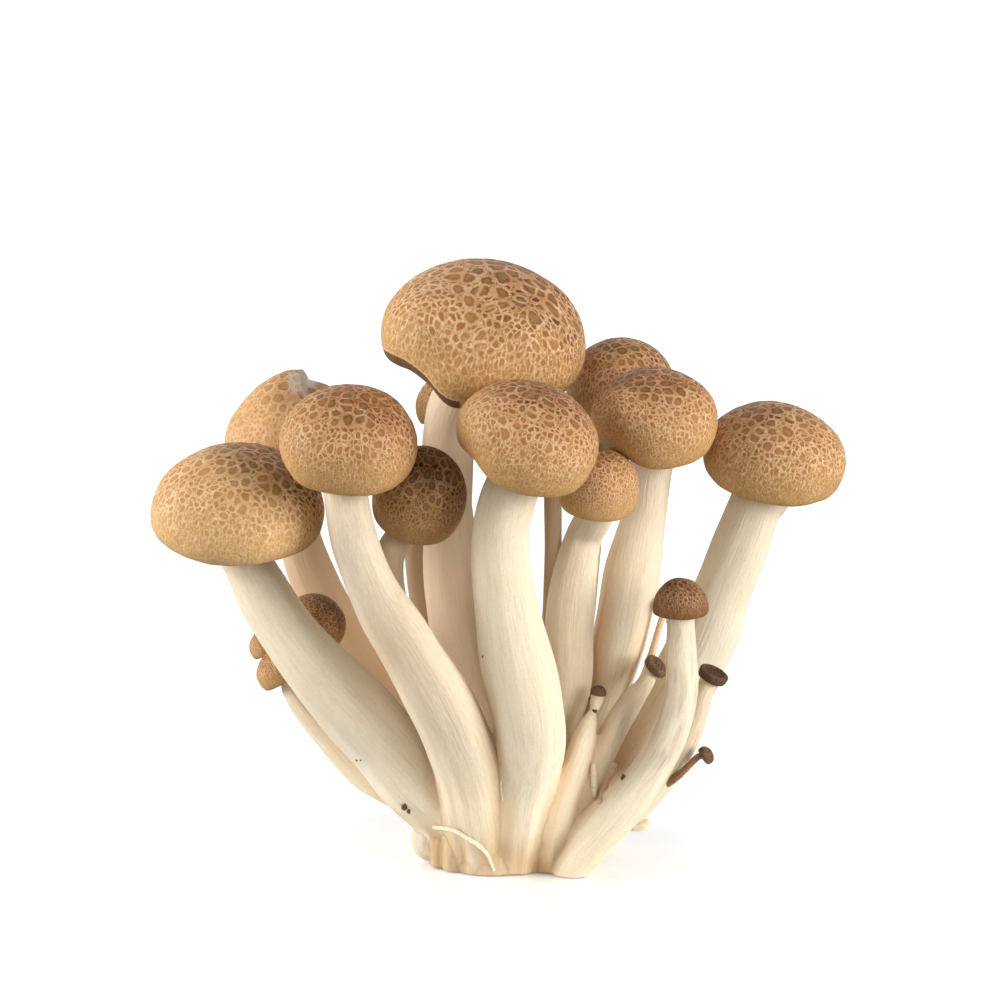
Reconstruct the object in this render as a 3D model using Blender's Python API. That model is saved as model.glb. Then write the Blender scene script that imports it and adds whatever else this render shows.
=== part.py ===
"""A cluster of brown beech mushrooms, standing on the cut face of its base.

The base is one grown body: the roots of all the stems run together in it above a flat cut. Each
mushroom above it is a stem and a cap, and the open caps carry a ring of gills under them.
Sizes in the tables are millimetres, with X to the right, Y away from the viewer and Z up from the
centre of the cut face.
"""

from dataclasses import dataclass
from math import cos, exp, pi, radians, sin

import bpy
import numpy as np
from mathutils import Euler, Vector

MM = 0.001
CLUSTER = "cluster"

# Joints between pieces
GAP = 0.3
CLEAR = 0.45

# The base above its cut face
CUT_Z = 0.0
CORE_CENTRE = (0.5, 0.0)
CORE_RADII = (12.0, 11.0)
CORE_RINGS = ((-3.0, 1.0), (2.5, 1.02), (6.5, 0.95), (10.0, 0.8), (14.5, 0.55), (18.0, 0.25))
CORE_SIDES = 28
CORE_FLUTE = 0.35
CUTTER_SIDE = 80.0

# Stems
SPINE_STEP = 0.5
RING_SPACING = 4.6
STEM_SIDES = 9
THIN_STEM_SIDES = 6
THIN_STEM_RADIUS = 1.4
SECTION_WAVE = 0.045

# Caps, as shares of the cap's radius
MARGIN_RADIUS = 0.82
LIP_WIDTH = 0.1
LIP_RISE = 0.16
WALL_WIDTH = 0.05
CEILING_CENTRE = -0.04
CEILING_EDGE = -0.14
CLOSED_CEILING = 0.55
EDGE_WAVE_START = 0.35
BIG_CAP = 7.5
BIG_CAP_SIDES = 20
CAP_SIDES = 12
PIN_CAP_SIDES = 8
PIN_CAP = 2.5
TEAR_PLACE = 0.32
TEAR_REACH = 0.6
TEAR_SLOPE = 0.2

# Gills
GILLS_PER_MM = 2.0
GILL_SEAT = 0.4
GILL_FLESH = 0.8
GILL_REACH = 0.86
GILL_MARGIN = 0.03
GILL_ROOF = 0.45


@dataclass(frozen=True)
class Fold:
    """A place where a cap's margin hangs lower and stands further out."""

    azimuth: float
    width: float
    drop: float
    reach: float


@dataclass(frozen=True)
class Cap:
    """A cap: its widest circle's centre, its size and its lean, in millimetres and degrees."""

    centre: tuple
    radius: float
    rise: float = 0.84
    drop: float = 0.45
    lean_right: float = 0.0
    lean_front: float = 0.0
    oval: tuple = (0.03, 20.0)
    folds: tuple = ()
    gilled: bool = False
    tear: float = 0.0


@dataclass(frozen=True)
class Mushroom:
    """A stem's route from the cut to just below its cap, as x, y, z and radius, and the cap."""

    name: str
    route: tuple
    cap: Cap
    colour: str = "tan"


MUSHROOMS = (
    Mushroom(
        "left_front",
        (
            (-3.5, -3.0, -3.0, 3.4), (-7.3, -4.0, 7.0, 5.5), (-13.5, -7.0, 15.0, 5.9),
            (-22.5, -10.0, 26.0, 5.5), (-28.8, -10.0, 33.5, 4.6), (-33.2, -9.0, 39.5, 4.4),
            (-36.4, -7.2, 45.5, 4.5),
        ),
        Cap((-38.6, -8.0, 54.1), 12.5, 0.8, 0.27, 2, 16, (0.02, 10), gilled=True),
    ),
    Mushroom(
        "left_back",
        (
            (-4.5, 4.0, -3.0, 2.8), (-10.5, 7.0, 10.5, 4.0), (-18.5, 10.5, 23.0, 4.2),
            (-25.3, 12.0, 33.0, 3.7), (-30.2, 13.5, 43.2, 3.4), (-32.4, 14.5, 54.0, 3.1),
        ),
        Cap((-32.0, 13.5, 61.6), 10.6, 0.87, 0.34, -16, 12, (0.03, 60), gilled=True, tear=1.3),
    ),
    Mushroom(
        "centre_left",
        (
            (-2.0, -6.5, -3.0, 3.6), (-3.9, -12.0, 12.0, 4.4), (-7.2, -16.5, 24.5, 4.8),
            (-13.1, -18.5, 36.0, 4.4), (-17.8, -18.0, 43.5, 3.8), (-20.8, -17.0, 51.0, 3.6),
            (-22.2, -16.0, 58.5, 3.3),
        ),
        Cap((-21.7, -16.0, 65.6), 9.7, 0.87, 0.38, 4, 22, (0.02, 0), gilled=True),
    ),
    Mushroom(
        "tucked_left",
        (
            (-1.5, -1.5, -3.0, 2.8), (-4.0, -3.0, 10.0, 3.0), (-9.5, -5.0, 23.0, 2.6),
            (-13.6, -5.5, 32.0, 2.3), (-15.6, -6.0, 40.0, 2.1), (-15.4, -6.0, 47.5, 2.0),
        ),
        Cap((-11.9, -7.0, 56.3), 6.8, 1.28, 0.62, 14, 38, (0.02, 0)),
        "brown",
    ),
    Mushroom(
        "tall",
        (
            (0.0, 1.0, -3.0, 3.4), (-2.0, 3.5, 13.5, 5.0), (-4.9, 7.0, 25.5, 4.9),
            (-7.3, 9.0, 37.5, 4.2), (-7.8, 10.0, 50.0, 4.0), (-7.2, 10.0, 61.0, 4.0),
            (-5.6, 9.0, 68.0, 4.3),
        ),
        Cap(
            (-2.5, 5.5, 77.8), 15.3, 0.79, 0.31, 8, 18, (0.02, 30),
            (Fold(252, 18, 0.6, 0.02), Fold(218, 24, -1.9, 0.0), Fold(300, 26, -1.8, -0.05)),
            gilled=True,
        ),
    ),
    Mushroom(
        "centre_right",
        (
            (2.2, -7.5, -3.0, 3.0), (3.6, -12.5, 12.0, 3.6), (4.5, -15.5, 20.5, 4.7),
            (3.8, -17.0, 28.0, 5.2), (1.8, -16.5, 37.0, 4.9), (0.2, -16.0, 46.0, 4.3),
            (0.0, -15.2, 52.0, 4.1), (0.9, -14.6, 56.5, 4.0),
        ),
        Cap(
            (3.9, -16.5, 66.6), 10.3, 0.75, 0.43, 14, 20, (0.02, 150),
            (Fold(215, 28, -1.8, -0.05),), gilled=True,
        ),
    ),
    Mushroom(
        "tucked_right",
        (
            (3.8, -3.0, -3.0, 2.4), (7.9, -4.0, 17.0, 2.9), (10.2, -5.0, 28.0, 3.3),
            (10.4, -5.2, 37.5, 3.5), (11.3, -5.0, 45.0, 3.1), (12.5, -4.6, 50.0, 2.6),
        ),
        Cap((14.5, -8.0, 58.0), 5.9, 1.0, 0.56, 6, 14, (0.02, 40)),
    ),
    Mushroom(
        "right_back",
        (
            (3.4, 5.0, -3.0, 2.5), (9.4, 9.5, 18.5, 2.5), (12.4, 13.0, 34.0, 2.3),
            (13.3, 15.5, 43.0, 2.2), (14.4, 17.5, 52.0, 2.2), (16.8, 18.2, 60.0, 2.4),
        ),
        Cap((18.8, 16.5, 69.2), 8.8, 0.9, 0.46, 0, 14, (0.03, 90), gilled=True),
    ),
    Mushroom(
        "right_mid",
        (
            (5.4, 1.0, -3.0, 2.6), (12.3, 1.0, 15.5, 3.3), (16.2, 0.0, 25.5, 3.4),
            (18.3, -0.6, 34.5, 4.1), (19.8, -0.6, 43.5, 4.0), (21.6, 0.6, 52.0, 3.3),
            (22.4, 0.8, 58.0, 3.1),
        ),
        Cap(
            (22.9, -2.0, 67.2), 9.3, 0.79, 0.46, 0, 20, (0.02, 0), (Fold(218, 30, -1.9, -0.04),),
            gilled=True,
        ),
    ),
    Mushroom(
        "far_right",
        (
            (7.4, 2.0, -3.0, 3.1), (15.0, 3.5, 7.5, 3.7), (23.8, 4.0, 19.0, 4.6),
            (30.5, 4.0, 31.0, 4.7), (33.8, 3.5, 40.0, 4.4), (36.8, 3.0, 48.0, 4.1),
            (38.8, 3.0, 53.5, 4.0),
        ),
        Cap(
            (41.3, 3.0, 60.3), 10.4, 0.83, 0.38, 12, 14, (0.03, 0), (Fold(330, 45, -0.9, 0.0),),
            gilled=True,
        ),
    ),
    Mushroom(
        "small_front",
        (
            (8.0, -8.5, -3.0, 2.4), (13.4, -12.5, 5.0, 3.0), (17.7, -13.5, 10.5, 3.2),
            (21.7, -14.0, 16.0, 3.0), (24.8, -14.0, 22.0, 2.8), (26.6, -14.0, 28.5, 2.6),
            (26.6, -13.4, 34.0, 2.4), (26.5, -13.0, 38.0, 2.2),
        ),
        Cap((26.4, -13.0, 41.4), 4.1, 1.0, 0.25, 0, 4, (0.0, 0)),
        "brown",
    ),
    Mushroom(
        "small_left",
        (
            (-4.6, 1.0, -3.0, 1.9), (-11.5, 2.0, 7.5, 1.7), (-17.6, 1.5, 16.5, 1.5),
            (-23.8, 1.2, 26.0, 1.4), (-27.6, 1.3, 30.5, 1.4),
        ),
        Cap((-28.0, 0.4, 35.7), 4.6, 0.96, 0.5, 34, 18, (0.04, 0)),
        "brown",
    ),
    Mushroom(
        "low_left",
        (
            (-4.0, -1.0, -3.0, 2.1), (-9.5, -2.0, 5.5, 2.3), (-14.6, -2.0, 9.0, 2.3),
            (-20.6, -1.5, 12.5, 2.4), (-25.9, -0.5, 18.0, 2.2), (-29.9, 0.8, 22.5, 1.9),
            (-31.6, 1.6, 25.0, 1.7),
        ),
        Cap((-32.9, 2.3, 28.3), 4.2, 0.8, 0.5, -26, -8, (0.06, 0)),
    ),
    Mushroom(
        "low_left_back",
        (
            (-5.0, 3.5, -3.0, 1.6), (-12.4, 4.5, 7.0, 1.5), (-20.1, 6.0, 12.5, 1.4),
            (-27.8, 8.0, 20.5, 1.2), (-33.0, 9.0, 27.0, 1.2),
        ),
        Cap((-35.8, 9.4, 30.3), 3.0, 0.9, 0.5, -20, -8, (0.03, 0)),
    ),
    Mushroom(
        "back_left",
        (
            (-2.0, 7.5, -3.0, 2.2), (-5.0, 12.0, 10.0, 2.1), (-9.6, 16.0, 23.5, 2.0),
            (-12.8, 17.0, 36.5, 1.6), (-13.5, 17.0, 48.0, 1.6),
        ),
        Cap((-13.7, 16.8, 53.0), 4.5, 0.85, 0.5, -4, -6, (0.03, 0)),
    ),
    Mushroom(
        "back_centre",
        (
            (0.5, 8.0, -3.0, 1.9), (-1.6, 14.5, 17.0, 2.0), (-4.2, 18.0, 32.5, 2.0),
            (-6.2, 19.0, 48.5, 1.9), (-7.2, 19.0, 60.0, 1.9),
        ),
        Cap((-7.6, 18.6, 66.5), 5.4, 0.9, 0.5, -4, -10, (0.03, 0)),
    ),
    Mushroom(
        "back_right",
        (
            (2.6, 8.5, -3.0, 1.7), (5.3, 14.0, 12.5, 1.7), (7.6, 17.5, 28.0, 1.5),
            (8.3, 18.0, 42.5, 1.4), (8.2, 17.5, 53.5, 1.4),
        ),
        Cap((8.1, 17.0, 60.6), 5.6, 0.9, 0.5, 2, -8, (0.03, 0)),
    ),
    Mushroom(
        "stub_right",
        (
            (10.2, -6.0, -3.0, 2.0), (14.6, -7.0, 3.6, 2.1), (20.0, -7.4, 8.8, 2.1),
            (24.2, -7.0, 13.6, 2.1), (27.6, -6.4, 19.0, 2.1), (29.4, -5.6, 23.5, 1.9),
            (30.4, -5.2, 26.0, 1.5),
        ),
        Cap((32.1, -5.0, 29.3), 2.2, 0.28, 0.5, 24, -6, (0.05, 0)),
        "dark",
    ),
    Mushroom(
        "stub_mid",
        (
            (8.6, -7.5, -3.0, 2.0), (11.9, -9.0, 9.0, 2.1), (14.6, -9.2, 16.0, 2.1),
            (17.0, -8.4, 21.2, 2.1), (19.6, -7.4, 25.4, 1.8), (21.6, -6.8, 28.0, 1.3),
        ),
        Cap((23.5, -6.4, 30.8), 1.9, 0.3, 0.45, 42, 10, (0.05, 0)),
        "dark",
    ),
    Mushroom(
        "pin_front",
        (
            (6.6, -8.0, -3.0, 1.8), (8.4, -11.6, 9.5, 1.9), (10.5, -12.0, 15.4, 1.8),
            (12.0, -11.2, 19.7, 1.8), (13.1, -10.4, 22.8, 1.3), (13.8, -9.8, 24.8, 0.55),
        ),
        Cap((14.6, -9.4, 27.4), 1.2, 0.85, 0.5, 10, 0, (0.0, 0)),
        "dark",
    ),
    Mushroom(
        "pin_thin",
        (
            (9.2, -2.0, -3.0, 1.2), (13.8, -4.0, 10.5, 0.9), (18.0, -4.0, 19.5, 0.6),
            (20.9, -3.4, 26.0, 0.6), (22.6, -3.2, 31.0, 0.6), (23.9, -3.2, 36.0, 0.5),
        ),
        Cap((25.0, -3.4, 39.6), 1.2, 0.8, 0.5, 8, 0, (0.0, 0)),
        "dark",
    ),
)

# A bent pin that grows from the side of a stem, and a nub beside it
PIN_HOST = "stub_right"
PIN_ROUTE = (
    (23.4, -7.2, 12.2, 1.0), (26.2, -9.2, 14.3, 0.6), (28.3, -9.8, 16.5, 0.5),
    (29.4, -9.8, 17.6, 0.5),
)
PIN_CAP_SHAPE = Cap((30.7, -9.8, 17.9), 1.3, 0.7, 0.5, 58, 8, (0.0, 0))
NUB_ROUTE = (
    (18.6, -7.6, 7.0, 1.0), (20.3, -8.2, 6.4, 0.8), (21.7, -8.4, 6.7, 0.9), (22.5, -8.4, 7.3, 0.5),
)

COLOURS = {
    "tan": ((0.46, 0.29, 0.14), 0.5),
    "brown": ((0.25, 0.14, 0.07), 0.5),
    "dark": ((0.12, 0.07, 0.045), 0.6),
    "flesh": ((0.83, 0.74, 0.57), 0.6),
    "gill": ((0.78, 0.66, 0.47), 0.65),
}


def clear_scene():
    """Remove every object that the scene holds."""
    for obj in list(bpy.data.objects):
        bpy.data.objects.remove(obj, do_unlink=True)


def make_materials():
    """Give each colour of the cluster its own material."""
    made = {}
    for name, (colour, roughness) in COLOURS.items():
        material = bpy.data.materials.new(name)
        material.use_nodes = True
        shader = material.node_tree.nodes["Principled BSDF"]
        shader.inputs["Base Color"].default_value = (*colour, 1.0)
        shader.inputs["Roughness"].default_value = roughness
        shader.inputs["Metallic"].default_value = 0.0
        made[name] = material
    return made


def make_object(name, points, faces, material, origin=(0.0, 0.0, 0.0), turn=(0.0, 0.0, 0.0)):
    """Link a smooth-shaded mesh whose points are millimetres from its origin."""
    mesh = bpy.data.meshes.new(name)
    mesh.from_pydata([tuple(c * MM for c in p) for p in points], [], faces)
    mesh.shade_smooth()
    mesh.set_sharp_from_angle(angle=radians(50))
    mesh.materials.append(material)
    obj = bpy.data.objects.new(name, mesh)
    bpy.context.scene.collection.objects.link(obj)
    obj.location = Vector(origin) * MM
    obj.rotation_euler = Euler(turn)
    return obj


def close_tube(rings):
    """Faces for stacked rings of equal length, with a fan over each end."""
    count = len(rings[0])
    points = [p for ring in rings for p in ring]
    faces = []
    for row in range(len(rings) - 1):
        low, high = row * count, (row + 1) * count
        for i in range(count):
            j = (i + 1) % count
            faces.append((low + i, low + j, high + j, high + i))
    points.append(tuple(np.mean(rings[0], axis=0)))
    points.append(tuple(np.mean(rings[-1], axis=0)))
    first, last = len(points) - 2, len(points) - 1
    top = (len(rings) - 1) * count
    for i in range(count):
        j = (i + 1) % count
        faces.append((first, j, i))
        faces.append((last, top + i, top + j))
    return points, faces


def smooth_route(route):
    """A smooth curve through x, y, z, radius points, sampled every SPINE_STEP millimetres."""
    knots = np.array(route, float)
    ends = [2 * knots[0] - knots[1], *knots, 2 * knots[-1] - knots[-2]]
    fine = []
    for a, b, c, d in zip(ends, ends[1:], ends[2:], ends[3:]):
        for t in np.linspace(0.0, 1.0, 24, endpoint=False):
            square = (2 * a - 5 * b + 4 * c - d) * t**2
            cube = (3 * b - a - 3 * c + d) * t**3
            fine.append(0.5 * (2 * b + (c - a) * t + square + cube))
    fine = np.array([*fine, knots[-1]])
    lengths = np.linalg.norm(np.diff(fine[:, :3], axis=0), axis=1)
    along = np.concatenate([[0.0], np.cumsum(lengths)])
    stations = np.linspace(0.0, along[-1], max(4, round(along[-1] / SPINE_STEP)))
    return np.stack([np.interp(stations, along, fine[:, k]) for k in range(4)], axis=1)


def turn_of(cap):
    """The cap's rotation: its lean to the right about Y, then to the front about X."""
    return Euler((radians(cap.lean_front), radians(cap.lean_right), 0.0))


def ceiling_of(cap):
    """Height of the flat middle of a cap's underside, from its widest circle."""
    share = CEILING_CENTRE if cap.gilled else -CLOSED_CEILING * cap.drop
    return share * cap.radius


def spine_of(mushroom):
    """The stem's sampled centreline, straightened into the middle of its cap's underside."""
    cap = mushroom.cap
    axis = turn_of(cap).to_matrix() @ Vector((0, 0, 1))
    seat = Vector(cap.centre) + axis * (ceiling_of(cap) - GAP)
    top_radius = mushroom.route[-1][3]
    below = Vector(cap.centre) - axis * (cap.drop * cap.radius + top_radius / 2)
    return smooth_route((*mushroom.route, (*below, top_radius), (*seat, top_radius)))


def room_round_core(spine):
    """How far each sample of a stem stands off the core, and no limit above the core's top."""
    heights, shares = zip(*CORE_RINGS)
    reach = max(CORE_RADII) * np.interp(spine[:, 2], heights, shares) + CORE_FLUTE
    away = np.hypot(spine[:, 0] - CORE_CENTRE[0], spine[:, 1] - CORE_CENTRE[1])
    return np.where(spine[:, 2] < heights[-1], away - reach - spine[:, 3], np.inf)


def leave_base(spines):
    """For each stem, the first sample above which it stands clear of the core and other stems."""
    splits = {}
    for name, spine in spines.items():
        clear = room_round_core(spine)
        for other, rival in spines.items():
            if other == name:
                continue
            apart = np.linalg.norm(spine[:, None, :3] - rival[None, :, :3], axis=2)
            room = apart - spine[:, None, 3] - rival[None, :, 3]
            clear = np.minimum(clear, room.min(axis=1))
        crowded = np.nonzero(clear < CLEAR)[0]
        splits[name] = int(crowded[-1]) + 1 if len(crowded) else 0
    return splits


def tube_rings(spine, sides):
    """Rings of points round a sampled centreline, RING_SPACING apart, with a slightly wavy section."""
    length = (len(spine) - 1) * np.linalg.norm(spine[1, :3] - spine[0, :3])
    count = max(2, round(length / RING_SPACING)) + 1
    picks = np.linspace(0, len(spine) - 1, count).round().astype(int)
    centres = [Vector(spine[i, :3]) for i in picks]
    tangents = np.gradient(spine[:, :3], axis=0)
    side = Vector((1, 0, 0))
    rings = []
    for i, centre in zip(picks, centres):
        tangent = Vector(tangents[i]).normalized()
        side = (side - tangent * side.dot(tangent)).normalized()
        across = tangent.cross(side)
        ring = []
        for k in range(sides):
            angle = 2 * pi * k / sides
            radius = spine[i, 3] * (1 + SECTION_WAVE * cos(2 * angle + 0.13 * i))
            ring.append(tuple(centre + (side * cos(angle) + across * sin(angle)) * radius))
        rings.append(ring)
    return rings


def sides_for(spine):
    """Fewer sides round a thin stem."""
    return THIN_STEM_SIDES if spine[:, 3].mean() < THIN_STEM_RADIUS else STEM_SIDES


def tube_object(name, spine, material):
    """A closed tube round a sampled centreline, with its origin at the lower end."""
    rings = tube_rings(spine, sides_for(spine))
    origin = tuple(float(c) for c in spine[0, :3])
    rings = [[tuple(np.subtract(p, origin)) for p in ring] for ring in rings]
    points, faces = close_tube(rings)
    return make_object(name, points, faces, material, origin)


def unite(body, parts, name):
    """Join overlapping solids to a body by one Boolean union, and drop the parts."""
    gathered = bpy.data.collections.new(name + "_parts")
    bpy.context.scene.collection.children.link(gathered)
    for part in parts:
        gathered.objects.link(part)
    joint = body.modifiers.new("join", "BOOLEAN")
    joint.operation = "UNION"
    joint.operand_type = "COLLECTION"
    joint.collection = gathered
    joint.solver = "MANIFOLD"
    apply_modifiers(body)
    for part in parts:
        bpy.data.objects.remove(part, do_unlink=True)
    bpy.data.collections.remove(gathered)
    return body


def apply_modifiers(obj):
    """Replace an object's mesh by what its modifiers make of it."""
    bpy.context.view_layer.update()
    graph = bpy.context.evaluated_depsgraph_get()
    made = bpy.data.meshes.new_from_object(obj.evaluated_get(graph))
    obj.modifiers.clear()
    obj.data = made


def core_object(material):
    """The fluted butt in the middle of the base, which fills the space between the roots."""
    rings = []
    for height, share in CORE_RINGS:
        ring = []
        for k in range(CORE_SIDES):
            angle = 2 * pi * k / CORE_SIDES
            flute = CORE_FLUTE * (1 if k % 2 else -1)
            ring.append(
                (
                    CORE_CENTRE[0] + (CORE_RADII[0] * share + flute) * cos(angle),
                    CORE_CENTRE[1] + (CORE_RADII[1] * share + flute) * sin(angle),
                    height,
                )
            )
        rings.append(ring)
    points, faces = close_tube(rings)
    return make_object("base", points, faces, material)


def cut_flat(obj):
    """Slice an object off level at the cut face."""
    half = CUTTER_SIDE / 2
    square = ((-half, -half), (half, -half), (half, half), (-half, half))
    corners = [(x, y, z) for z in (-half, CUT_Z) for x, y in square]
    faces = [(3, 2, 1, 0), (4, 5, 6, 7), (0, 1, 5, 4), (1, 2, 6, 5), (2, 3, 7, 6), (3, 0, 4, 7)]
    knife = make_object("knife", corners, faces, obj.data.materials[0])
    cut = obj.modifiers.new("cut", "BOOLEAN")
    cut.operation = "DIFFERENCE"
    cut.object = knife
    cut.solver = "MANIFOLD"
    apply_modifiers(obj)
    bpy.data.objects.remove(knife, do_unlink=True)


def edge_share(radius_share):
    """How far a point takes part in the margin's waves, from 0 in the middle to 1 at the margin."""
    t = min(1.0, max(0.0, (radius_share - EDGE_WAVE_START) / (1 - EDGE_WAVE_START)))
    return t * t * (3 - 2 * t)


def shaped(cap, azimuth, radius_share, height_share):
    """A point of the cap in its own frame, with the oval, folds and tear worked in."""
    weight = edge_share(radius_share)
    amount, phase = cap.oval
    reach = 1 + weight * amount * cos(2 * (azimuth - radians(phase)))
    drop = 0.0
    for fold in cap.folds:
        away = (azimuth - radians(fold.azimuth) + pi) % (2 * pi) - pi
        near = exp(-((away / radians(fold.width)) ** 2))
        drop += fold.drop * near * weight
        reach += fold.reach * near * weight
    radius = radius_share * cap.radius * reach
    return (radius * cos(azimuth), radius * sin(azimuth), height_share * cap.radius - drop)


def inner_radius(cap):
    """Where the underside's wall starts inside the lip, as a share of the radius."""
    return MARGIN_RADIUS - LIP_WIDTH - WALL_WIDTH


def cap_profile(cap, stem_radius, rings):
    """Radius and height shares down the outside of a cap, round its lip and in along its underside."""
    dome = [(sin(pi / 2 * k / rings), cap.rise * cos(pi / 2 * k / rings)) for k in range(1, rings + 1)]
    tuck = [
        (MARGIN_RADIUS + (1 - MARGIN_RADIUS) * cos(pi / 2 * k / 2), -cap.drop * sin(pi / 2 * k / 2))
        for k in (1, 2)
    ]
    lip = (MARGIN_RADIUS - LIP_WIDTH, -cap.drop * (1 - LIP_RISE))
    flat = (stem_radius + 2 * GAP) / cap.radius
    ceiling = ceiling_of(cap) / cap.radius
    if not cap.gilled:
        return [*dome, *tuck, lip, (flat, ceiling)]
    return [*dome, *tuck, lip, (inner_radius(cap), CEILING_EDGE), (flat, ceiling)]


def cap_object(name, cap, stem_radius, material):
    """A cap as one closed body, domed above and hollowed below."""
    sides, rings = CAP_SIDES, 5
    if cap.radius > BIG_CAP:
        sides, rings = BIG_CAP_SIDES, 6
    if cap.radius < PIN_CAP:
        sides, rings = PIN_CAP_SIDES, 3
    profile = cap_profile(cap, stem_radius, rings)
    loops = [
        [shaped(cap, 2 * pi * k / sides, r, h) for k in range(sides)] for r, h in reversed(profile)
    ]
    points, faces = close_tube(loops)
    points[-2] = (0.0, 0.0, ceiling_of(cap))
    points[-1] = (0.0, 0.0, cap.rise * cap.radius)
    if cap.tear:
        points = [lift_tear(cap, p) for p in points]
    return make_object(name, points, faces, material, cap.centre, turn_of(cap))


def lift_tear(cap, point):
    """Raise the skin left of a crack over the crown, where it has peeled."""
    x, y, z = point
    beside = (x / cap.radius - TEAR_PLACE) / TEAR_REACH
    if z <= 0 or not -1 < beside < TEAR_SLOPE:
        return point
    return (x, y, z + cap.tear * (1 + beside) * (z / cap.radius))


def gills_object(name, cap, stem_radius, material):
    """A ring of gills: a thin plate whose lower side rises and falls round the stem."""
    count = max(14, round(GILLS_PER_MM * cap.radius))
    inner = (stem_radius + GILL_SEAT) / cap.radius
    outer = inner_radius(cap) - GAP / cap.radius - GILL_MARGIN
    middle = (inner + outer) / 2
    top = ((inner, ceiling_at(cap, inner, stem_radius)), (outer, ceiling_at(cap, outer, stem_radius)))
    gap = GILL_ROOF / cap.radius
    flesh = GILL_FLESH / cap.radius
    deep = cap.drop * GILL_REACH
    loops = []
    for share, low, high in (
        (inner, -deep * 0.72, top[0][1] - gap - flesh),
        (middle, -deep * 0.9, (top[0][1] + top[1][1]) / 2 - gap - flesh),
        (outer, -deep * 0.86, top[1][1] - gap - flesh),
    ):
        loops.append(
            [shaped(cap, pi * k / count, share, low if k % 2 else high) for k in range(2 * count)]
        )
    for share, height in reversed(top):
        loops.append([shaped(cap, pi * k / count, share, height - gap) for k in range(2 * count)])
    return make_object(name, *close_loops(loops), material, cap.centre, turn_of(cap))


def ceiling_at(cap, share, stem_radius):
    """Height share of the underside between the flat middle and the lip's wall."""
    flat = (stem_radius + 2 * GAP) / cap.radius
    t = min(1.0, max(0.0, (share - flat) / (inner_radius(cap) - flat)))
    return CEILING_CENTRE + (CEILING_EDGE - CEILING_CENTRE) * t


def close_loops(loops):
    """Faces for rings that follow each other round and back to the first, as on a torus."""
    count = len(loops[0])
    points = [p for loop in loops for p in loop]
    faces = []
    for row in range(len(loops)):
        low, high = row * count, ((row + 1) % len(loops)) * count
        for i in range(count):
            j = (i + 1) % count
            faces.append((low + i, low + j, high + j))
            faces.append((low + i, high + j, high + i))
    return points, faces


def main():
    """Build the base, then each mushroom's stem, gills and cap."""
    clear_scene()
    materials = make_materials()
    spines = {m.name: spine_of(m) for m in MUSHROOMS}
    splits = leave_base(spines)
    flesh = materials["flesh"]
    gap_samples = max(1, round(GAP / SPINE_STEP))
    roots = [
        tube_object("root_" + name, spine[: splits[name] + 1], flesh) for name, spine in spines.items()
    ]
    base = unite(core_object(flesh), roots, "base")
    cut_flat(base)
    made = [base]
    for mushroom in MUSHROOMS:
        name, cap = mushroom.name, mushroom.cap
        spine = spines[name][splits[name] + gap_samples :]
        stem = tube_object("stem_" + name, spine, flesh)
        if name == PIN_HOST:
            offshoots = [
                tube_object("offshoot", smooth_route(route), flesh) for route in (PIN_ROUTE, NUB_ROUTE)
            ]
            stem = unite(stem, offshoots, "offshoots")
        made.append(stem)
        stem_radius = spine[-1, 3] * (1 + SECTION_WAVE)
        made.append(cap_object("cap_" + name, cap, stem_radius, materials[mushroom.colour]))
        if cap.gilled:
            made.append(gills_object("gills_" + name, cap, stem_radius, materials["gill"]))
    made.append(cap_object("cap_pin_bent", PIN_CAP_SHAPE, PIN_ROUTE[-1][3], materials["dark"]))
    cluster = bpy.data.objects.new(CLUSTER, None)
    bpy.context.scene.collection.objects.link(cluster)
    for obj in made:
        obj.parent = cluster


main()
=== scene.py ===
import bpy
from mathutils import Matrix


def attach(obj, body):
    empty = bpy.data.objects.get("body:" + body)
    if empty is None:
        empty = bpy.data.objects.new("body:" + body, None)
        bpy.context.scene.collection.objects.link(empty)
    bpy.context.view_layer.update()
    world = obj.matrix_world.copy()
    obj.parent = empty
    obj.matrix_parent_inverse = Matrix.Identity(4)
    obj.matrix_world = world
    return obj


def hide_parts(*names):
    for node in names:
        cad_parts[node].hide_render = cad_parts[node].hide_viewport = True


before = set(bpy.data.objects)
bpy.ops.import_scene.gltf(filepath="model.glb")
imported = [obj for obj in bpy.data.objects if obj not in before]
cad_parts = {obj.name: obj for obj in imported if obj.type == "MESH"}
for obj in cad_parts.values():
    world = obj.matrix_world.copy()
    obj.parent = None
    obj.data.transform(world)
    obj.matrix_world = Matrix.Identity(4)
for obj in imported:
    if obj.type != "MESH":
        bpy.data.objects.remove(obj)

"""A bunch of brown beech mushrooms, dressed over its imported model.

The flesh of the stems and the base is one grown skin. Every cap is a piece with a scaly skin, and
the open ones carry blades of gills. Lengths in the tables are millimetres in the model's frame: X to
the right, Y away from the viewer, Z up from the centre of the cut face.
"""

import logging
from dataclasses import dataclass, field
from enum import Enum
from math import cos, pi, radians, sin, tau

import bmesh
import bpy
import numpy as np
from mathutils import Euler, Matrix, Vector
from mathutils.bvhtree import BVHTree

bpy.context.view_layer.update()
MM = 0.001
BODY = "root"
LOG = logging.getLogger("cluster")
Rgb = tuple[float, float, float]
Vec3 = tuple[float, float, float]
Knot = tuple[float, float, float, float]
Face = tuple[int, ...]


def linear(red: int, green: int, blue: int) -> Rgb:
    """Turn a screen colour into the linear values that shaders take.

    Args:
        red: Red, 0 to 255.
        green: Green, 0 to 255.
        blue: Blue, 0 to 255.

    Returns:
        The three linear values.
    """
    return tuple(
        c / 12.92 if c <= 0.04045 else ((c + 0.055) / 1.055) ** 2.4
        for c in (red / 255, green / 255, blue / 255)
    )


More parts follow.
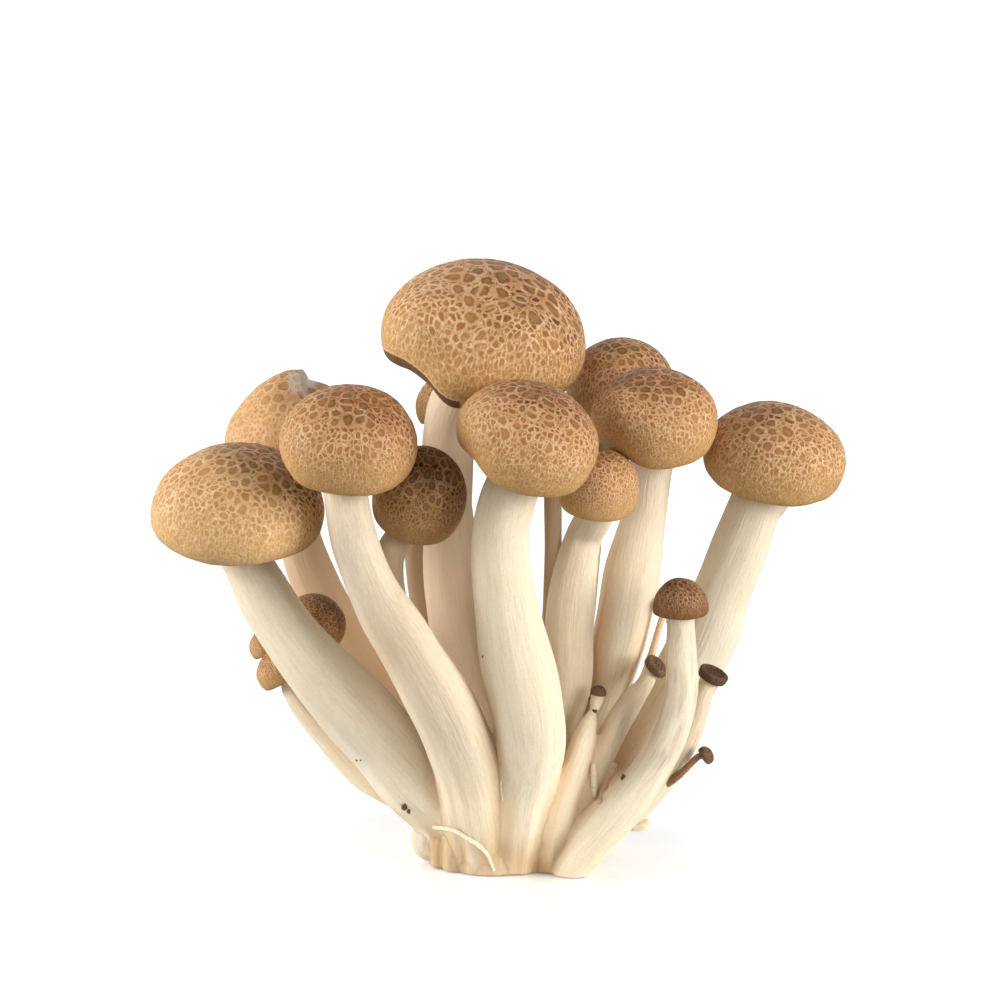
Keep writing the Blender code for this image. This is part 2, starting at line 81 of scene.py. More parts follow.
def ease(low: float, high: float, value: np.ndarray) -> np.ndarray:
    """Rise smoothly from 0 to 1 between two values.

    Args:
        low: Where the rise starts.
        high: Where it ends, which may be below low for a fall.
        value: The values to place.

    Returns:
        The share of the rise for each value.
    """
    t = np.clip((value - low) / (high - low), 0.0, 1.0)
    return t * t * (3 - 2 * t)


def ripple(points: np.ndarray, size: float, seed: int) -> np.ndarray:
    """Smooth unevenness in space, made of a few crossing waves.

    Args:
        points: Positions, one per row.
        size: The length of a wave.
        seed: Which unevenness to give.

    Returns:
        A value about -1 to 1 for each point.
    """
    rng = np.random.default_rng(seed)
    total = np.zeros(len(points))
    for _ in range(7):
        way = rng.normal(size=3)
        way /= np.linalg.norm(way)
        total += np.sin(points @ way * (tau / size) * rng.uniform(0.7, 1.5) + rng.uniform(0, tau))
    return total / 3.2


class Slot(Enum):
    """The record's material slots."""

    TAN = "tan"
    BROWN = "brown"
    DARK = "dark"
    FLESH = "flesh"
    GILL = "gill"


class Skin(Enum):
    """The kinds of cap skin, each with the record's slot that it belongs to."""

    GOLDEN = ("golden", Slot.TAN)
    PALE = ("pale", Slot.TAN)
    SMOOTH = ("smooth", Slot.TAN)
    SHADED = ("shaded", Slot.BROWN)
    CHESTNUT = ("chestnut", Slot.BROWN)
    DRIED = ("dried", Slot.DARK)

    @property
    def slot(self) -> Slot:
        """The record's slot."""
        return self.value[1]


@dataclass(frozen=True)
class Fold:
    """A place where a cap's margin hangs lower or higher, in millimetres, over some degrees."""

    azimuth: float
    width: float
    drop: float
    reach: float


@dataclass(frozen=True)
class MeshData:
    """Points in millimetres, faces, and named values for each point."""

    points: np.ndarray
    faces: list[Face]
    values: dict[str, np.ndarray] = field(default_factory=dict)


def make_piece(
    name: str,
    data: MeshData,
    material: bpy.types.Material,
    nodes: tuple[str, ...],
    turn: Matrix | None = None,
) -> bpy.types.Object:
    """Make a shaded piece from mesh data, and tell the frame what it is.

    Args:
        name: The piece's name.
        data: Its mesh.
        material: Its material.
        nodes: The model's nodes that it stands for.
        turn: Where its points go, in millimetres, or None to leave them.

    Returns:
        The new object.
    """
    points = data.points
    if turn is not None:
        array = np.array(turn)
        points = points @ array[:3, :3].T + array[:3, 3]
    mesh = bpy.data.meshes.new(name)
    mesh.from_pydata((points * MM).tolist(), [], data.faces)
    mesh.validate()
    mesh.shade_smooth()
    for key, values in data.values.items():
        kind = "FLOAT_VECTOR" if values.ndim == 2 else "FLOAT"
        layer = mesh.attributes.new(key, kind, "POINT").data
        layer.foreach_set("vector" if values.ndim == 2 else "value", values.ravel().astype(np.float32))
    mesh.materials.append(material)
    piece = bpy.data.objects.new(name, mesh)
    bpy.context.scene.collection.objects.link(piece)
    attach(piece, BODY)
    if nodes:
        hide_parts(*nodes)
    LOG.info("%s: %d faces", name, len(mesh.polygons))
    return piece


def grid_faces(rows: int, columns: int) -> list[Face]:
    """Quads between stacked closed rings of points.

    Args:
        rows: How many rings.
        columns: How many points in a ring.

    Returns:
        The faces.
    """
    faces = []
    for low in range(0, (rows - 1) * columns, columns):
        high = low + columns
        for i in range(columns):
            j = (i + 1) % columns
            faces.append((low + i, low + j, high + j, high + i))
    return faces


def cap_ends(faces: list[Face], rows: int, columns: int, first: int, last: int) -> None:
    """Close both ends of stacked rings with fans round two centre points.

    Args:
        faces: The list of faces, which grows.
        rows: How many rings.
        columns: How many points in a ring.
        first: The index of the point that closes the first ring.
        last: The index of the point that closes the last ring.
    """
    top = (rows - 1) * columns
    for i in range(columns):
        j = (i + 1) % columns
        faces.append((first, j, i))
        faces.append((last, top + i, top + j))


@dataclass(frozen=True)
class Mask:
    """An output of a node, with arithmetic that adds Math nodes to its tree."""

    bench: "NodeBench"
    socket: bpy.types.NodeSocket

    def __mul__(self, other: object) -> "Mask":
        """The product."""
        return self.bench.math("MULTIPLY", self, other)

    def __add__(self, other: object) -> "Mask":
        """The sum."""
        return self.bench.math("ADD", self, other)

    def __sub__(self, other: object) -> "Mask":
        """The difference."""
        return self.bench.math("SUBTRACT", self, other)

    def __rsub__(self, other: object) -> "Mask":
        """The difference from a plain number."""
        return self.bench.math("SUBTRACT", other, self)

    def __truediv__(self, other: object) -> "Mask":
        """The quotient."""
        return self.bench.math("DIVIDE", self, other)

    def most(self, other: object) -> "Mask":
        """The larger of two values."""
        return self.bench.math("MAXIMUM", self, other)

    def ramp(self, low: float, high: float) -> "Mask":
        """A smooth rise from 0 at low to 1 at high, which may be below low for a fall."""
        settings = {"interpolation_type": "SMOOTHSTEP"}
        return self.bench.mask(self.bench.add("MapRange", settings, Value=self, From_Min=low, From_Max=high))


class NodeBench:
    """Helps to wire up one node tree."""

    def __init__(self, tree: bpy.types.NodeTree) -> None:
        """Work on this tree."""
        self.tree = tree

    def feed(self, socket: bpy.types.NodeSocket, value: object) -> None:
        """Link an output to an input, or give the input a fixed value.

        Args:
            socket: The input.
            value: A mask, an output or a plain value.
        """
        value = value.socket if isinstance(value, Mask) else value
        if isinstance(value, bpy.types.NodeSocket):
            self.tree.links.new(value, socket)
        elif isinstance(value, tuple) and len(value) == 3 and socket.type == "RGBA":
            socket.default_value = (*value, 1.0)
        else:
            socket.default_value = value

    def wire(self, node: bpy.types.Node, **inputs: object) -> None:
        """Feed a node's inputs.

        Args:
            node: The node.
            **inputs: A value or an output for each input, by its name or by i and its index.
        """
        for key, value in inputs.items():
            index = int(key[1:]) if key[0] == "i" and key[1:].isdigit() else key.replace("_", " ")
            self.feed(node.inputs[index], value)

    def add(self, kind: str, settings: dict | None = None, **inputs: object) -> bpy.types.Node:
        """Add a node, set its properties, and feed its inputs.

        Args:
            kind: The node's type, without the ShaderNode in front.
            settings: Properties of the node.
            **inputs: A value or an output for each input.

        Returns:
            The node.
        """
        node = self.tree.nodes.new("ShaderNode" + kind)
        for key, value in (settings or {}).items():
            setattr(node, key, value)
        self.wire(node, **inputs)
        return node

    def mask(self, node: bpy.types.Node, output: int | str = 0) -> Mask:
        """One output of a node."""
        return Mask(self, node.outputs[output])

    def math(self, operation: str, first: object, second: object) -> Mask:
        """A Math node of two values."""
        return self.mask(self.add("Math", {"operation": operation}, i0=first, i1=second))

    def mix(self, share: object, first: object, second: object) -> Mask:
        """The first colour, with a share of the second."""
        settings = {"data_type": "RGBA", "clamp_factor": True}
        return self.mask(self.add("Mix", settings, i0=share, i6=first, i7=second), 2)

    def layers(self, colour: object, *coats: tuple[object, object]) -> Mask:
        """Lay colours over a colour, one after the other.

        Args:
            colour: The colour below.
            *coats: The share and the colour of each coat.

        Returns:
            The colour on top.
        """
        for share, coat in coats:
            colour = self.mix(share, colour, coat)
        return colour

    def noise(
        self, where: object, scale: float, detail: float = 3.0, rough: float = 0.5,
        squeeze: Vec3 | None = None,
    ) -> Mask:
        """Cloudy noise between 0 and 1.

        Args:
            where: The place.
            scale: Its fineness.
            detail: How many octaves.
            rough: How strong the finer ones are.
            squeeze: How fine it is along each axis, or None for the same along all.

        Returns:
            The noise.
        """
        if squeeze:
            where = self.add("VectorMath", {"operation": "MULTIPLY"}, i0=where, i1=squeeze).outputs[0]
        return self.mask(self.add("TexNoise", Vector=where, Scale=scale, Detail=detail, Roughness=rough))

    def attribute(self, name: str, output: str = "Fac") -> Mask:
        """A value that the mesh's points carry."""
        return self.mask(self.add("Attribute", {"attribute_name": name}), output)


def new_group(
    name: str, values: dict[str, object], colours: dict[str, Rgb], outputs: tuple[str, ...],
) -> tuple[NodeBench, dict[str, Mask], bpy.types.Node]:
    """Start a shader node group with named sockets.

    Args:
        name: The group's name.
        values: The defaults of its number inputs, or None for a vector.
        colours: The defaults of its colour inputs.
        outputs: The names of its number outputs, beside Color.

    Returns:
        A bench for the group, its inputs by name and its output node.
    """
    tree = bpy.data.node_groups.new(name, "ShaderNodeTree")
    for key, value in {**values, **colours}.items():
        kind = "Vector" if value is None else "Color" if key in colours else "Float"
        socket = tree.interface.new_socket(key, in_out="INPUT", socket_type="NodeSocket" + kind)
        if value is not None:
            socket.default_value = (*value, 1.0) if kind == "Color" else value
    tree.interface.new_socket("Color", in_out="OUTPUT", socket_type="NodeSocketColor")
    for key in outputs:
        tree.interface.new_socket(key, in_out="OUTPUT", socket_type="NodeSocketFloat")
    bench = NodeBench(tree)
    given = tree.nodes.new("NodeGroupInput")
    inputs = {key: bench.mask(given, key) for key in (*values, *colours)}
    return bench, inputs, tree.nodes.new("NodeGroupOutput")


def new_material(name: str) -> tuple[bpy.types.Material, NodeBench, bpy.types.Node]:
    """Start a material.

    Args:
        name: The material's name.

    Returns:
        The material, a bench for its nodes, and its shader.
    """
    made = bpy.data.materials.new(name)
    made.use_nodes = True
    return made, NodeBench(made.node_tree), made.node_tree.nodes["Principled BSDF"]


@dataclass(frozen=True)
class ScaleLayer:
    """Masks of the scales and their surroundings, the depth inside a scale, and a chance for each."""

    scales: Mask
    halo: Mask
    depth: Mask
    chance: Mask


def scale_layer(
    bench: NodeBench, where: object, fineness: float, fill: object, keep: Mask, ragged: Mask,
) -> ScaleLayer:
    """One layer of round scales, each in a cell of its own.

    Args:
        bench: The bench of the group that gets the layer.
        where: The place in scale widths.
        fineness: How many cells lie on a scale width.
        fill: The radius of a scale, as a share of a cell.
        keep: The share of the cells that hold a scale.
        ragged: What moves the scales' edges in or out.

    Returns:
        The layer.
    """
    near, edge = (
        bench.add(
            "TexVoronoi", {"voronoi_dimensions": "2D", "feature": feature},
            Vector=where, Scale=fineness, Randomness=0.85,
        )
        for feature in ("F1", "DISTANCE_TO_EDGE")
    )
    chances = bench.add("SeparateColor", i0=near.outputs["Color"])
    size = (bench.mask(chances, 1) * 0.5 + 0.7) * fill
    reach = bench.mask(near, "Distance") / size + ragged
    kept = (keep - bench.mask(chances, 0)).ramp(-0.04, 0.04)
    sides = bench.mask(edge, "Distance").ramp(0.0, 0.22)
    scales, halo = reach.ramp(1.28, 0.7) * sides * kept, reach.ramp(1.85, 1.2) * kept
    return ScaleLayer(scales, halo, reach.ramp(1.0, 0.3), bench.mask(chances, 2))


def scaly_skin_group() -> bpy.types.NodeTree:
    """The mottling of a cap: brown scales in a pale net, large on the crown and fine near the margin.

    Returns:
        The node group. Where is the place on the flattened cap in scale widths, and Ray a place that
        changes fast round the axis. Crown runs from 0 in the middle of the dark crown outwards, and
        Margin from 0 at the cap's tip to 1 at the lip. Darkness says how dark the crown is, and Lipshade
        where a pale line and a dark strip of painted shade lie along the turned-in lip.
    """
    white = (1.0, 1.0, 1.0)
    bench, given, result = new_group(
        "Scaly skin",
        {"Where": None, "Ray": None, "Crown": 0.0, "Margin": 0.0, "Scorch": 0.0, "Darkness": 1.0},
        {"Net": white, "Ground": white, "Scale": white, "Dark": white, "Rim": white},
        ("Height", "Roughness"),
    )
    where, margin = given["Where"], given["Margin"]
    net, scale, dark, rim = given["Net"], given["Scale"], given["Dark"], given["Rim"]
    bent = where
    for fineness, detail, shift in ((0.7, 2.0, 0.9), (4.5, 3.0, 0.14)):
        cloudy = bench.add("TexNoise", Vector=where, Scale=fineness, Detail=detail).outputs["Color"]
        moved = bench.add(
            "VectorMath", {"operation": "MULTIPLY_ADD"}, i0=cloudy, i1=(shift, shift, 0.0), i2=bent
        )
        bent = moved.outputs[0]
    near_crown = given["Crown"].ramp(1.1, 0.25)
    cloud, fine = bench.noise(where, 0.4, 3.0, 0.6), bench.noise(where, 5.0, 5.0, 0.7)
    place = margin + (cloud * 0.36 - 0.18)
    worn, outer = place.ramp(1.15, 0.6), place.ramp(0.25, 0.6)
    rays = bench.noise(given["Ray"], 1.6, 3.0, 0.6, (22.0, 22.0, 0.5))
    strokes, dashes = rays.ramp(0.48, 0.64) * outer, rays.ramp(0.46, 0.32) * outer

    ragged = fine * 1.6 - 0.8
    large = scale_layer(bench, bent, 1.0, near_crown * 0.14 + 0.33, place.ramp(0.78, 0.22), ragged)
    middle = scale_layer(bench, bent, 1.9, 0.42, place.ramp(1.12, 0.5), ragged)
    small = scale_layer(bench, bent, 4.2, 0.47, place.ramp(1.45, 0.85), ragged)
    clear = 1.0 - large.halo
    brown = large.scales.most(middle.scales * clear * (worn * 0.35 + 0.6))
    brown = brown.most(small.scales * (clear * (1.0 - middle.halo)) * (worn * 0.35 + 0.5))
    brown = brown * (fine * 0.5 + 0.72)
    patch = bench.noise(where, 0.8, 2.0).ramp(0.42, 0.6)
    outline = (large.halo.most(middle.halo * 0.8) - brown) * fine.ramp(0.32, 0.56) * (patch * 0.75 + 0.25)

    darkness = near_crown * given["Darkness"] * (large.chance * 0.5 + (cloud * 0.8 + 0.22))
    line = bench.mix(darkness * 0.5, net, given["Ground"])
    scales = bench.layers(
        scale, (margin.ramp(0.4, 0.95), bench.mix(0.5, scale, rim)), (darkness * 1.6, dark),
        (large.depth * 0.25, rim),
    )
    # painted shade: a pale line and then a dark strip along the turned-in lip
    scorch = given["Scorch"] + (fine * 0.9 - 0.45)
    colour = bench.layers(
        given["Ground"],
        (place.ramp(0.5, 1.0), rim),
        (darkness, scale),
        (fine.ramp(0.42, 0.62) * 0.5, scale),
        (dashes * (worn * 0.3 + 0.12), scale),
        (outline * (worn * 0.45 + 0.2), line),
        (strokes * (worn * 0.5 + 0.15), net),
        (brown, scales),
        (given["Darkness"].ramp(1.0, 1.6) * 0.5, scale),
        (margin.ramp(0.975, 1.0) * 0.5, net),
        # the pale line and the dark strip of painted shade on the lip
        (scorch.ramp(0.2, 0.4) * 0.6, net),
        (scorch.ramp(0.5, 0.66) * 0.85, dark),
    )
    bench.wire(result, Color=colour, Height=fine * 0.35 + brown * -0.6, Roughness=fine * 0.25 + 0.42)
    return bench.tree


def fibre_group() -> bpy.types.NodeTree:
    """Flesh with fibres that follow the stem.

    Returns:
        The node group. Along is the place in a frame that is straightened along the stem, in
        millimetres, and Deep runs to 1 in the clefts, where it lays warm painted shade. Streak says how
        far grey fibres show, and Foot how beige the foot is, partly its own tint and partly painted
        shade under the overhanging cluster. Tanshade says how tan the stem is: painted shade on the
        back and inner stems, and the own colour of thin strands. High says how far the greyish felt
        colour shows near the cap, and on the centre-left stem it is painted shade. Stainshade says
        how bruised or painted with shade, and where it is negative, how blanched or painted with light.
    """
    bench, given, result = new_group(
        "Fibrous flesh",
        {"Along": None, "Deep": 0.0, "Streak": 0.0, "Foot": 0.0, "Tone": 0.0, "High": 0.0, "Stain": 0.0},
        {
            "Pale": linear(238, 225, 198), "Warm": linear(220, 184, 134), "Tan": linear(196, 146, 92),
            "Grey": linear(190, 174, 156), "Line": linear(120, 100, 84), "Bruise_and_shade": linear(178, 138, 90),
            "Beige": linear(180, 158, 124), "Blanched_and_lit": linear(232, 222, 204), "Felt_and_shade": linear(198, 180, 156),
        },
        ("Height", "Roughness"),
    )
    along, streak, foot, stain = given["Along"], given["Streak"], given["Foot"], given["Stain"]
    warm, grey, bruise_and_shade = given["Warm"], given["Grey"], given["Bruise_and_shade"]
    threads = bench.noise(along, 2.4, 5.0, 0.62, (1.0, 1.0, 0.05))
    hairs = bench.noise(along, 7.0, 3.0, 0.6, (1.0, 1.0, 0.09))
    clouds = bench.noise(along, 0.16, 3.0, 0.5, (1.0, 1.0, 0.35))
    speckle = bench.noise(along, 3.2, 4.0, 0.7)
    smudges = bench.noise(along, 0.7, 2.0, 0.5, (1.0, 1.0, 0.22)).ramp(0.46, 0.66)
    patches = bench.noise(along, 0.55, 4.0, 0.65, (1.0, 1.0, 0.3)).ramp(0.45, 0.7)
    colour = bench.layers(
        given["Pale"],
        (clouds.ramp(0.35, 0.75) * 0.22, warm),
        # painted shade: warm colour laid in the clefts between stems
        (given["Deep"] * 0.7, warm),
        # painted shade: back and inner stems are tinted tan where they sit in shade; thin strands get tan as
        # their own colour
        (given["Tone"], given["Tan"]),
        (threads.ramp(0.54, 0.32) * 0.32, warm),
        # greyish felt colour near the cap; where it starts low, as on the centre-left stem, it is painted
        # shade
        ((hairs.ramp(0.4, 0.62) * 0.6 + 0.4) * (given["High"] * 0.46 + 0.05), given["Felt_and_shade"]),
        (speckle.ramp(0.46, 0.66) * 0.18, grey),
        (smudges * (threads.ramp(0.36, 0.62) * 0.8 + 0.2) * streak, grey),
        (threads.ramp(0.58, 0.66) * smudges.ramp(0.5, 1.0) * streak, given["Line"]),
        # the base's own beige, partly painted shade under the overhanging cluster, darker towards the bottom
        # and the left
        (foot * 0.85, given["Beige"]),
        (foot * patches * 0.3, bruise_and_shade),
        # bruises, and painted shade in creases and between stems
        (stain * (threads * 0.9 + 0.45), bruise_and_shade),
        # negative values: blanched flesh, and painted light on stems that sit in shade
        (stain * -1.0, given["Blanched_and_lit"]),
    )
    height = threads + hairs * 0.4 + speckle * 0.12
    bench.wire(result, Color=colour, Height=height, Roughness=threads * 0.22 + 0.5)
    return bench.tree


@dataclass(frozen=True)
class SkinFinish:
    """The colours of a cap's skin."""

    net: Rgb = linear(232, 198, 160)
    ground: Rgb = linear(198, 158, 110)
    scale: Rgb = linear(150, 94, 50)
    dark: Rgb = linear(84, 42, 20)
    rim: Rgb = linear(208, 168, 106)
    flesh: Rgb = linear(230, 214, 186)
    bump: float = 0.35

    def material(self, name: str, group: bpy.types.NodeTree) -> bpy.types.Material:
        """Make the material.

        Args:
            name: The material's name.
            group: The scaly skin group.

        Returns:
            The material.
        """
        made, bench, shader = new_material(name)
        fields = {key: bench.attribute(key.lower()) for key in ("Crown", "Margin", "Darkness", "Scorch")}
        ways = {key: bench.attribute(key.lower(), "Vector") for key in ("Where", "Ray")}
        colours = {key: getattr(self, key.lower()) for key in ("Net", "Ground", "Scale", "Dark", "Rim")}
        skin = bench.add("Group", {"node_tree": group}, **fields, **ways, **colours).outputs
        colour = bench.mix(bench.attribute("inside"), skin["Color"], self.flesh)
        bump = bench.add("Bump", Height=skin["Height"], Strength=self.bump, Distance=0.00025)
        bench.wire(
            shader, Base_Color=colour, Roughness=skin["Roughness"], Normal=bump.outputs[0],
            Subsurface_Weight=0.1, Subsurface_Radius=(1.0, 0.5, 0.2), Subsurface_Scale=0.0008,
            Specular_IOR_Level=0.12,
        )
        return made


@dataclass(frozen=True)
class FleshFinish:
    """The colours of stem flesh."""

    pale: Rgb = linear(241, 229, 203)
    # The warm colour also serves as the painted shade in the clefts.
    warm: Rgb = linear(220, 184, 134)
    # The tan is also painted shade on the back and inner stems.
    tan: Rgb = linear(192, 136, 74)
    bump: float = 0.6

    def material(self, name: str, group: bpy.types.NodeTree) -> bpy.types.Material:
        """Make the material.

        Args:
            name: The material's name.
            group: The fibrous flesh group.

        Returns:
            The material.
        """
        made, bench, shader = new_material(name)
        names = ("Deep", "Streak", "Foot", "Tone", "High", "Stain")
        fields = {key: bench.attribute(key.lower()) for key in names}
        flesh = bench.add(
            "Group", {"node_tree": group}, Along=bench.attribute("along", "Vector"), **fields,
            Pale=self.pale, Warm=self.warm, Tan=self.tan,
        ).outputs
        bump = bench.add("Bump", Height=flesh["Height"], Strength=self.bump, Distance=0.0003)
        bench.wire(
            shader, Base_Color=flesh["Color"], Roughness=flesh["Roughness"], Normal=bump.outputs[0],
            Subsurface_Weight=0.3, Subsurface_Radius=(1.0, 0.65, 0.4), Subsurface_Scale=0.002,
            Specular_IOR_Level=0.3,
        )
        return made


@dataclass(frozen=True)
class GillFinish:
    """The colour of gill blades, darker towards their roots."""

    edge: Rgb = linear(240, 224, 190)
    root: Rgb = linear(196, 160, 108)

    def material(self, name: str) -> bpy.types.Material:
        """Make the material.

        Args:
            name: The material's name.

        Returns:
            The material.
        """
        made, bench, shader = new_material(name)
        grain = bench.noise(bench.add("TexCoord").outputs["Object"], 1400.0)
        colour = bench.layers(
            self.edge, (bench.attribute("depth").ramp(1.0, 0.2), self.root), (grain * 0.25, self.root)
        )
        bump = bench.add("Bump", Height=grain, Strength=0.3, Distance=0.0001)
        bench.wire(
            shader, Base_Color=colour, Normal=bump.outputs[0], Roughness=0.6, Subsurface_Weight=0.25,
            Subsurface_Radius=(1.0, 0.5, 0.25), Subsurface_Scale=0.0015,
        )
        return made


@dataclass(frozen=True)
class Cap:
    """A cap: its widest circle's centre, its size and its lean, in millimetres and degrees."""

    centre: Vec3
    radius: float
    rise: float = 0.84
    drop: float = 0.45
    lean_right: float = 0.0
    lean_front: float = 0.0
    oval: tuple[float, float] = (0.03, 20.0)
    folds: tuple[Fold, ...] = ()
    gilled: bool = False
    torn: bool = False
    dish: float = 0.0
    crown: tuple[float, float] = (0.0, 0.0)
    spot: float = 1.0
    rim: float = 0.82
    dark: float = 1.0
    # Azimuths between which a dark strip of painted shade lies along the turned-in lip.
    scorch: tuple[float, float] | None = None

    LIP_WIDTH = 0.1
    LIP_RISE = 0.16
    WALL_WIDTH = 0.05
    CEILING_CENTRE = -0.04
    CEILING_EDGE = -0.14
    CLOSED_CEILING = 0.55
    WAVE_START = 0.35
    GAP = 0.3
    TEAR_HEIGHT = 1.6
    TEAR_EDGE = 0.42
    TEAR_FRONT = -0.5
    TEAR_BACK = 0.05
    TEAR_SNAP = 0.03
    SCALE_WIDTH = 2.7
    SCALE_GROWTH = 0.85
    LARGE_RADIUS = 15
    SKIN_SHIFT = (17.0, 5.0, 0.0)
    RAY_SHIFT = 9.0
    DETAIL = ((7.0, 128, 44), (2.5, 64, 24), (0.0, 32, 12))
    TORN_DETAIL = (168, 58)
    BLADE_FOURS = 1.9
    BLADE_LENGTHS = (1.0, 0.35, 0.62, 0.35)
    BLADE_STATIONS = 7
    BLADE_HALF = 0.13

    def turn(self) -> Matrix:
        """Where the cap's own frame stands in the cluster."""
        lean = Euler((radians(self.lean_front), radians(self.lean_right), 0.0)).to_matrix().to_4x4()
        return Matrix.Translation(self.centre) @ lean

    def axis(self) -> Vector:
        """The way the cap's crown points."""
        return self.turn().to_3x3() @ Vector((0, 0, 1))

    def ceiling(self) -> float:
        """Height of the middle of the underside, from the widest circle."""
        share = self.CEILING_CENTRE if self.gilled else -self.CLOSED_CEILING * self.drop
        return share * self.radius

    def inner(self) -> float:
        """Where the underside's wall starts inside the lip, as a share of the radius."""
        return self.rim - self.LIP_WIDTH - self.WALL_WIDTH

    def shaped(self, azimuth: np.ndarray, share: np.ndarray, height: np.ndarray) -> np.ndarray:
        """Points in the cap's own frame, with its oval and folds worked in.

        Args:
            azimuth: Angles round the axis.
            share: Distances from the axis as shares of the radius.
            height: Heights as shares of the radius.

        Returns:
            The points, one per row.
        """
        weight = ease(self.WAVE_START, 1.0, share)
        reach = 1 + weight * self.oval[0] * np.cos(2 * (azimuth - radians(self.oval[1])))
        drop = np.zeros_like(azimuth)
        for fold in self.folds:
            away = (azimuth - radians(fold.azimuth) + pi) % tau - pi
            near = np.exp(-((away / radians(fold.width)) ** 2)) * weight
            drop = drop + fold.drop * near
            reach = reach + fold.reach * near
        radius = share * self.radius * reach
        x, y = radius * np.cos(azimuth), radius * np.sin(azimuth)
        return np.stack([x, y, height * self.radius - drop], axis=1)

    def profile(self, stem_radius: float, fine: int) -> tuple[np.ndarray, int]:
        """The cap's section from beside the crown's tip, down and round the lip, to the stem.

        Args:
            stem_radius: The stem's radius at the seat.
            fine: How many rings the dome has.

        Returns:
            Radius and height shares, and how many of them are outer skin.
        """
        t = np.linspace(0, pi / 2, fine + 1)[1:]
        dome = np.stack([np.sin(t), self.rise * np.cos(t)], axis=1)
        if self.dish:
            sag = self.dish * (1 - ease(0.55, 0.85, dome[:, 0]))
            dome[:, 1] -= sag
        t = np.linspace(0, pi / 2, max(4, fine // 3) + 1)[1:]
        tuck = np.stack([self.rim + (1 - self.rim) * np.cos(t), -self.drop * np.sin(t)], axis=1)
        lip_end = np.array([self.rim - self.LIP_WIDTH, -self.drop * (1 - self.LIP_RISE)])
        t = np.linspace(0, 1, 5)[1:, None]
        lip = tuck[-1] + (lip_end - tuck[-1]) * t
        lip[:, 1] -= 0.02 * np.sin(pi * t[:, 0])
        flat = (stem_radius - self.GAP) / self.radius
        ceiling = self.ceiling() / self.radius
        corners = [lip_end, np.array([flat, ceiling])]
        if self.gilled:
            corners.insert(1, np.array([self.inner(), self.CEILING_EDGE]))
        under = [a + (b - a) * s for a, b in zip(corners, corners[1:]) for s in np.linspace(0, 1, 7)[1:]]
        return np.concatenate([dome, tuck, lip, under]), len(dome) + len(tuck)

    def skin_mesh(self, stem_radius: float, seed: int) -> MeshData:
        """The whole cap as one closed body.

        Args:
            stem_radius: The stem's radius at the seat.
            seed: Which unevenness the skin has.

        Returns:
            The mesh.
        """
        columns, fine = next(detail for least, *detail in self.DETAIL if self.radius > least)
        if self.torn:
            columns, fine = self.TORN_DETAIL
        profile, outer = self.profile(stem_radius, fine)
        rows = len(profile)
        azimuth = np.tile(np.arange(columns) * tau / columns, rows)
        share, height = np.repeat(profile[:, 0], columns), np.repeat(profile[:, 1], columns)
        points = self.shaped(azimuth, share, height)
        tips = np.array([[0, 0, (self.rise - self.dish) * self.radius], [0, 0, self.ceiling()]])
        points = np.concatenate([points, tips])
        steps = np.linalg.norm(np.diff(np.concatenate([[[0, self.rise]], profile]), axis=0), axis=1)
        along = np.cumsum(steps)
        margin = np.repeat(np.minimum(along / along[outer - 1], 1.0), columns)
        inside = np.repeat((np.arange(rows) >= outer + 1).astype(float), columns)
        out = points[:-2] / np.linalg.norm(points[:-2], axis=1, keepdims=True)
        bumps = ripple(points[:-2] * np.array([1, 1, 0.7]), 0.9 * self.radius, seed) * 0.012 * self.radius
        bumps += ripple(points[:-2], 0.28 * self.radius, seed + 50) * 0.0035 * self.radius
        points[:-2] += out * (bumps * (1 - inside))[:, None]
        x, y = points[:-2, 0] / self.radius - self.crown[0], points[:-2, 1] / self.radius - self.crown[1]
        crown = np.maximum(np.hypot(x, y), margin * 0.5)
        away = margin * along[outer - 1] * self.radius
        reach = away / (self.SCALE_WIDTH * self.spot * (self.radius / self.LARGE_RADIUS) ** self.SCALE_GROWTH)
        shift = np.array(self.SKIN_SHIFT) * seed
        cosine, sine = np.cos(azimuth), np.sin(azimuth)
        where = np.stack([reach * cosine, reach * sine, np.zeros(len(reach))], axis=1) + shift
        ray = np.stack([cosine, sine, away + self.RAY_SHIFT * seed], axis=1)
        # painted shade: a dark strip along the turned-in lip between the given azimuths
        scorch = np.zeros(len(margin))
        if self.scorch:
            first, last = (radians(a) for a in self.scorch)
            between = ease(first - 0.1, first + 0.1, azimuth) * ease(last + 0.1, last - 0.1, azimuth)
            scorch = between * ease(0.85, 0.9, margin)
        if self.torn:
            points, inside = self.tear(points, inside)
        faces = grid_faces(rows, columns)
        cap_ends(faces, rows, columns, rows * columns, rows * columns + 1)
        faces = [face[::-1] for face in faces]
        values = {
            "where": np.concatenate([where, [shift, shift]]),
            "margin": np.concatenate([margin, [0, 1]]),
            "crown": np.concatenate([crown, [np.hypot(*self.crown), 1]]),
            "inside": np.concatenate([inside, [0, 1]]),
            "darkness": np.full(len(points), self.dark),
            "ray": np.concatenate([ray, [[0, 0, self.RAY_SHIFT * seed]] * 2]),
            "scorch": np.concatenate([scorch, [0, 0]]),
        }
        return MeshData(points, faces, values)

